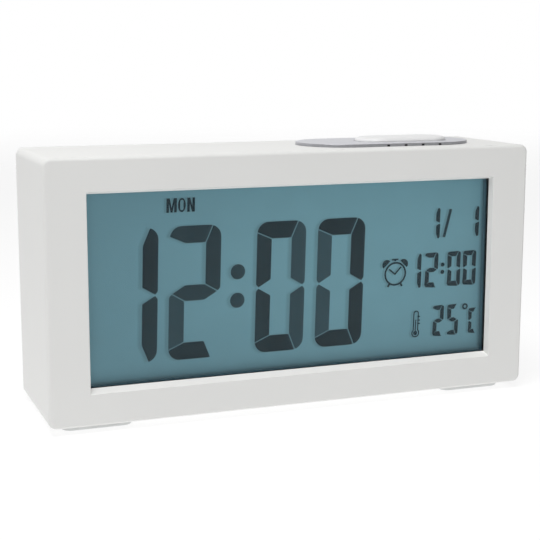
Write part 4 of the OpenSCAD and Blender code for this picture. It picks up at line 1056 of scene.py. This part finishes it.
class CLOCK_OT_rear(bpy.types.Operator):
    """Rear cover, battery door, keys and alarm slider"""
    bl_idname = "clock.rear"
    bl_label = "Rear cover, door and keys"

    def execute(self, context):
        case, rear = context.scene.clock_case, context.scene.clock_rear
        white = moulded("satin_white_abs_rear", case.shell, 0.5)
        grey = moulded("pale_grey_abs", rear.keys, 0.42, grain=0.4)
        # piece, CAD solid, rounding of its edges in millimetres, finish, slot and body
        for name, node, edge, plastic, slot, body in (
                ("rear_cover_shell", "rear_cover", 0.2, white, "case_white", "case"),
                ("battery_door_leaf", "battery_door", 0.15, white, "case_white", "battery_door"),
                ("alarm_slider_head", "alarm_slider", 0.12, grey, "key_grey", "alarm_slider")):
            piece(name, softened(node, edge), plastic, body=body, replaces=[node])
        for key in ("key_mode", "key_alarm", "key_up", "key_down"):
            mesh = mesh_of(key + "_cap", self.key(key, rear.dish / MM), facing)
            piece(key + "_cap", mesh, grey, body=key, replaces=[key])
        return {"FINISHED"}

    def key(self, node, dish):
        """Key on its flange: a stadium, rounded above and hollowed by dish towards its middle."""
        low, high = box_mm(node)
        middle, bottom, top = (low + high) / 2, low[1] - FRONT, high[1] - FRONT
        # the key's face, how far its flange stands out, the flange's chamfer and the face's rounding
        width, height, reach, nick, edge = 10, 5, 1.1, 0.1, 0.4
        loop = rounded(width, height, height / 2, 10, (middle[0], middle[2]))
        flange = bottom + 1
        shell = Shell()
        shell.solid(swept(loop, np.vstack((
            [(reach - nick, bottom), (reach, bottom + nick), (reach, flange - nick), (reach - nick, flange),
             (0, flange)],
            turn(0, top, -edge, -edge),
            [(-1.0, top - 0.5 * dish), (-1.7, top - 0.85 * dish), (-2.4, top - dish)]))))
        return shell


class CLOCK_OT_power(bpy.types.Operator):
    """Three cells and their contact springs"""
    bl_idname = "clock.power"
    bl_label = "Cells and springs"

    def execute(self, context):
        settings = context.scene.clock_rear
        sleeve = cell_sleeve("steel_can_in_sleeve", linear("C9CBCD"), linear("C8C2A8"), settings.label)
        for node, side in (("battery_lower", 1), ("battery_middle", -1), ("battery_upper", 1)):
            piece(node + "_cell", mesh_of(node + "_cell", self.cell(node, side)), sleeve,
                  replaces=[node])
        nickel = plated("nickel_plated_spring_wire", linear("C9CCD0"), 0.28)
        piece("contact_springs", mesh_of("contact_springs", self.springs(settings.spring_turns)), nickel,
              replaces=["battery_springs"])
        return {"FINISHED"}

    def cell(self, node, side):
        """Cell as a turned profile, with its positive end to the right for side 1 and to the left for -1;
        tone is the share of the length from that end."""
        low, high = box_mm(node)
        axis, radius, total = (low + high) / 2, (high - low)[2] / 2, high[0] - low[0]
        # distance from the positive end and radius: cap, shoulder, sleeve and the flat negative end
        profile = np.array([
            (0, 0.02), (0, 1.7), (0.2, 1.9), (0.8, 1.9), (0.8, 4.1), (1.0, 4.5), (1.45, 4.75),
            (1.7, radius - 0.15), (1.75, radius), (10, radius), (20, radius), (30, radius), (43.4, radius),
            (43.6, radius - 0.15), (44.3, 4.7), (44.5, 4.3), (44.5, 3.6), (44.4, 3.5), (44.4, 0.02)])
        rows = lathe(profile)
        x = (high[0] - rows[..., 2]) if side > 0 else (low[0] + rows[..., 2])
        rows = np.stack((x, axis[1] + rows[..., 0], axis[2] + rows[..., 1]), -1)
        shell = Shell()
        shell.solid(rows, (profile[:, 0] / total)[:, None])
        return shell

    def springs(self, turns):
        """Springs at the negative ends: each a helix that narrows evenly from its plate to its cell."""
        low, high = box_mm("battery_springs")
        wire, foot_radius, tip_radius = 0.3, 3.6, 2.1
        shell = Shell()
        for node, end in (("battery_lower", 0), ("battery_middle", 1), ("battery_upper", 0)):
            cell, inwards = box_mm(node), (wire, -wire)[end]
            axis = (cell[0] + cell[1]) / 2
            foot, tip = (low, high)[end][0] + inwards, cell[end][0] - inwards
            t = np.linspace(0, 1, 32 * turns + 1)
            a = 2 * math.pi * turns * t
            r = foot_radius + (tip_radius - foot_radius) * t
            shell.solid(tube(np.column_stack((foot + (tip - foot) * t, axis[1] + r * np.cos(a),
                                              axis[2] + r * np.sin(a))), wire))
        return shell


class CLOCK_OT_inside(bpy.types.Operator):
    """Finishes of the pieces that keep their CAD shape"""
    bl_idname = "clock.inside"
    bl_label = "Inner pieces"

    def execute(self, context):
        case, display = context.scene.clock_case, context.scene.clock_display
        finishes = {
            "case_white": moulded("satin_white_abs_inner", case.shell, 0.4),
            "window_clear": clear_sheet("clear_acrylic", linear("F7FAFA"), ior=1.22, haze=0.04),
            "gasket_black": gasket_foam("closed_cell_foam", linear("151B1B"), linear("84A2AE")),
            "polarizer_film": display_face("polarizer_film", display.edge, display.middle),
            "display_glass": clear_sheet("soda_lime_glass", linear("DCE9EA"), ior=1.52, haze=0.0),
            "white_sheet": moulded("white_polyester_sheet", linear("F7F8F8"), 0.6, grain=0.2),
            "light_guide_acrylic": light_guide("dotted_acrylic", linear("DFEEF2"), linear("FFFFFF")),
            "frame_plastic": moulded("natural_abs", linear("E8E9E6"), 0.5),
            "circuit_board": circuit_board("solder_mask_green", linear("2F7D4F"), linear("5FA070")),
            "led_resin": moulded("phosphor_resin", linear("F7F0B8"), 0.25, grain=0.1),
            "elastomer_pink": striped("layered_elastomer", linear("D98B86"), linear("2A2424"), pitch=0.4,
                                      axis="X", roughness=0.6),
            "epoxy_black": moulded("black_epoxy", linear("1B1B1C"), 0.45, grain=0.3, relief=0.01),
            "crystal_can": plated("drawn_tin_can", linear("C4C7C9"), 0.3, stretch=(1, 0.05, 1)),
            "capacitor_sleeve": striped("printed_shrink_sleeve", linear("2A3550"), linear("A7AFC0"),
                                        pitch=6.3, axis="X", roughness=0.3),
            "sensor_bead": moulded("brown_glass_bead", linear("3A2A1E"), 0.15, grain=1.0),
            "screw_steel": plated("zinc_plated_steel", linear("B9BCC0"), 0.3, spots=0.1),
            "panel_silver": moulded("silver_abs", linear("B4B4BA"), 0.35, Metallic=0.35),
            "button_white": moulded("white_abs", linear("F4F4F4"), 0.35),
            "silicone_grey": moulded("silicone_rubber", linear("9A9CA0"), 0.6, grain=0.4, relief=0.01),
            "ribbon_grey": striped("flat_ribbon_cable", linear("CFD2D6"), linear("8E9298"), pitch=1.27,
                                   axis="X", roughness=0.4),
            "key_grey": moulded("grey_abs", linear("E4E5E6"), 0.42),
            "switch_case": plated("stamped_steel", linear("AEB2B6"), 0.35, stretch=(0.1, 1, 1)),
            "battery_cell": moulded("cell_label", linear("3F6F58"), 0.3),
            "contact_nickel": plated("nickel_plated_strip", linear("C9CCD0"), 0.25, stretch=(1, 0.1, 0.1)),
            "lead_insulation": lead_pair("pvc_insulation", linear("1C1C1C"), linear("B3262A")),
            "foot_plastic": moulded("foot_plastic", linear("D9DAD9"), 0.55),
        }
        for part in frame["record"]["subparts"]:
            mesh = frame["nodes"][part["node"]].data
            mesh.materials.clear()
            mesh.materials.append(finishes[part["material_slot"]])
        piece("temperature_sensor_bead", rejoined("temperature_sensor"), finishes["sensor_bead"],
              replaces=["temperature_sensor"])
        return {"FINISHED"}


OPERATORS = (CLOCK_OT_stage, CLOCK_OT_case, CLOCK_OT_display, CLOCK_OT_top, CLOCK_OT_rear, CLOCK_OT_power,
             CLOCK_OT_inside)


class CLOCK_PT_panel(bpy.types.Panel):
    """Sidebar panel with the settings and one button for each group of pieces"""
    bl_idname = "CLOCK_PT_panel"
    bl_label = "Alarm Clock"
    bl_space_type = "VIEW_3D"
    bl_region_type = "UI"
    bl_category = "Clock"

    def draw(self, context):
        for operator in OPERATORS:
            self.layout.operator(operator.bl_idname)
        for key, group in SETTINGS.items():
            box = self.layout.box()
            for name in group.__annotations__:
                box.prop(getattr(context.scene, key), name)


def register():
    for item in (*SETTINGS.values(), *OPERATORS, CLOCK_PT_panel):
        bpy.utils.register_class(item)
    for key, group in SETTINGS.items():
        setattr(bpy.types.Scene, key, PointerProperty(type=group))


def unregister():
    for key in SETTINGS:
        delattr(bpy.types.Scene, key)
    for item in reversed((*SETTINGS.values(), *OPERATORS, CLOCK_PT_panel)):
        bpy.utils.unregister_class(item)


def main():
    """Builds everything in order."""
    register()
    for operator in OPERATORS:
        group, name = operator.bl_idname.split(".")
        getattr(getattr(bpy.ops, group), name)()
    bpy.context.view_layer.update()


if __name__ == "__main__":
    main()
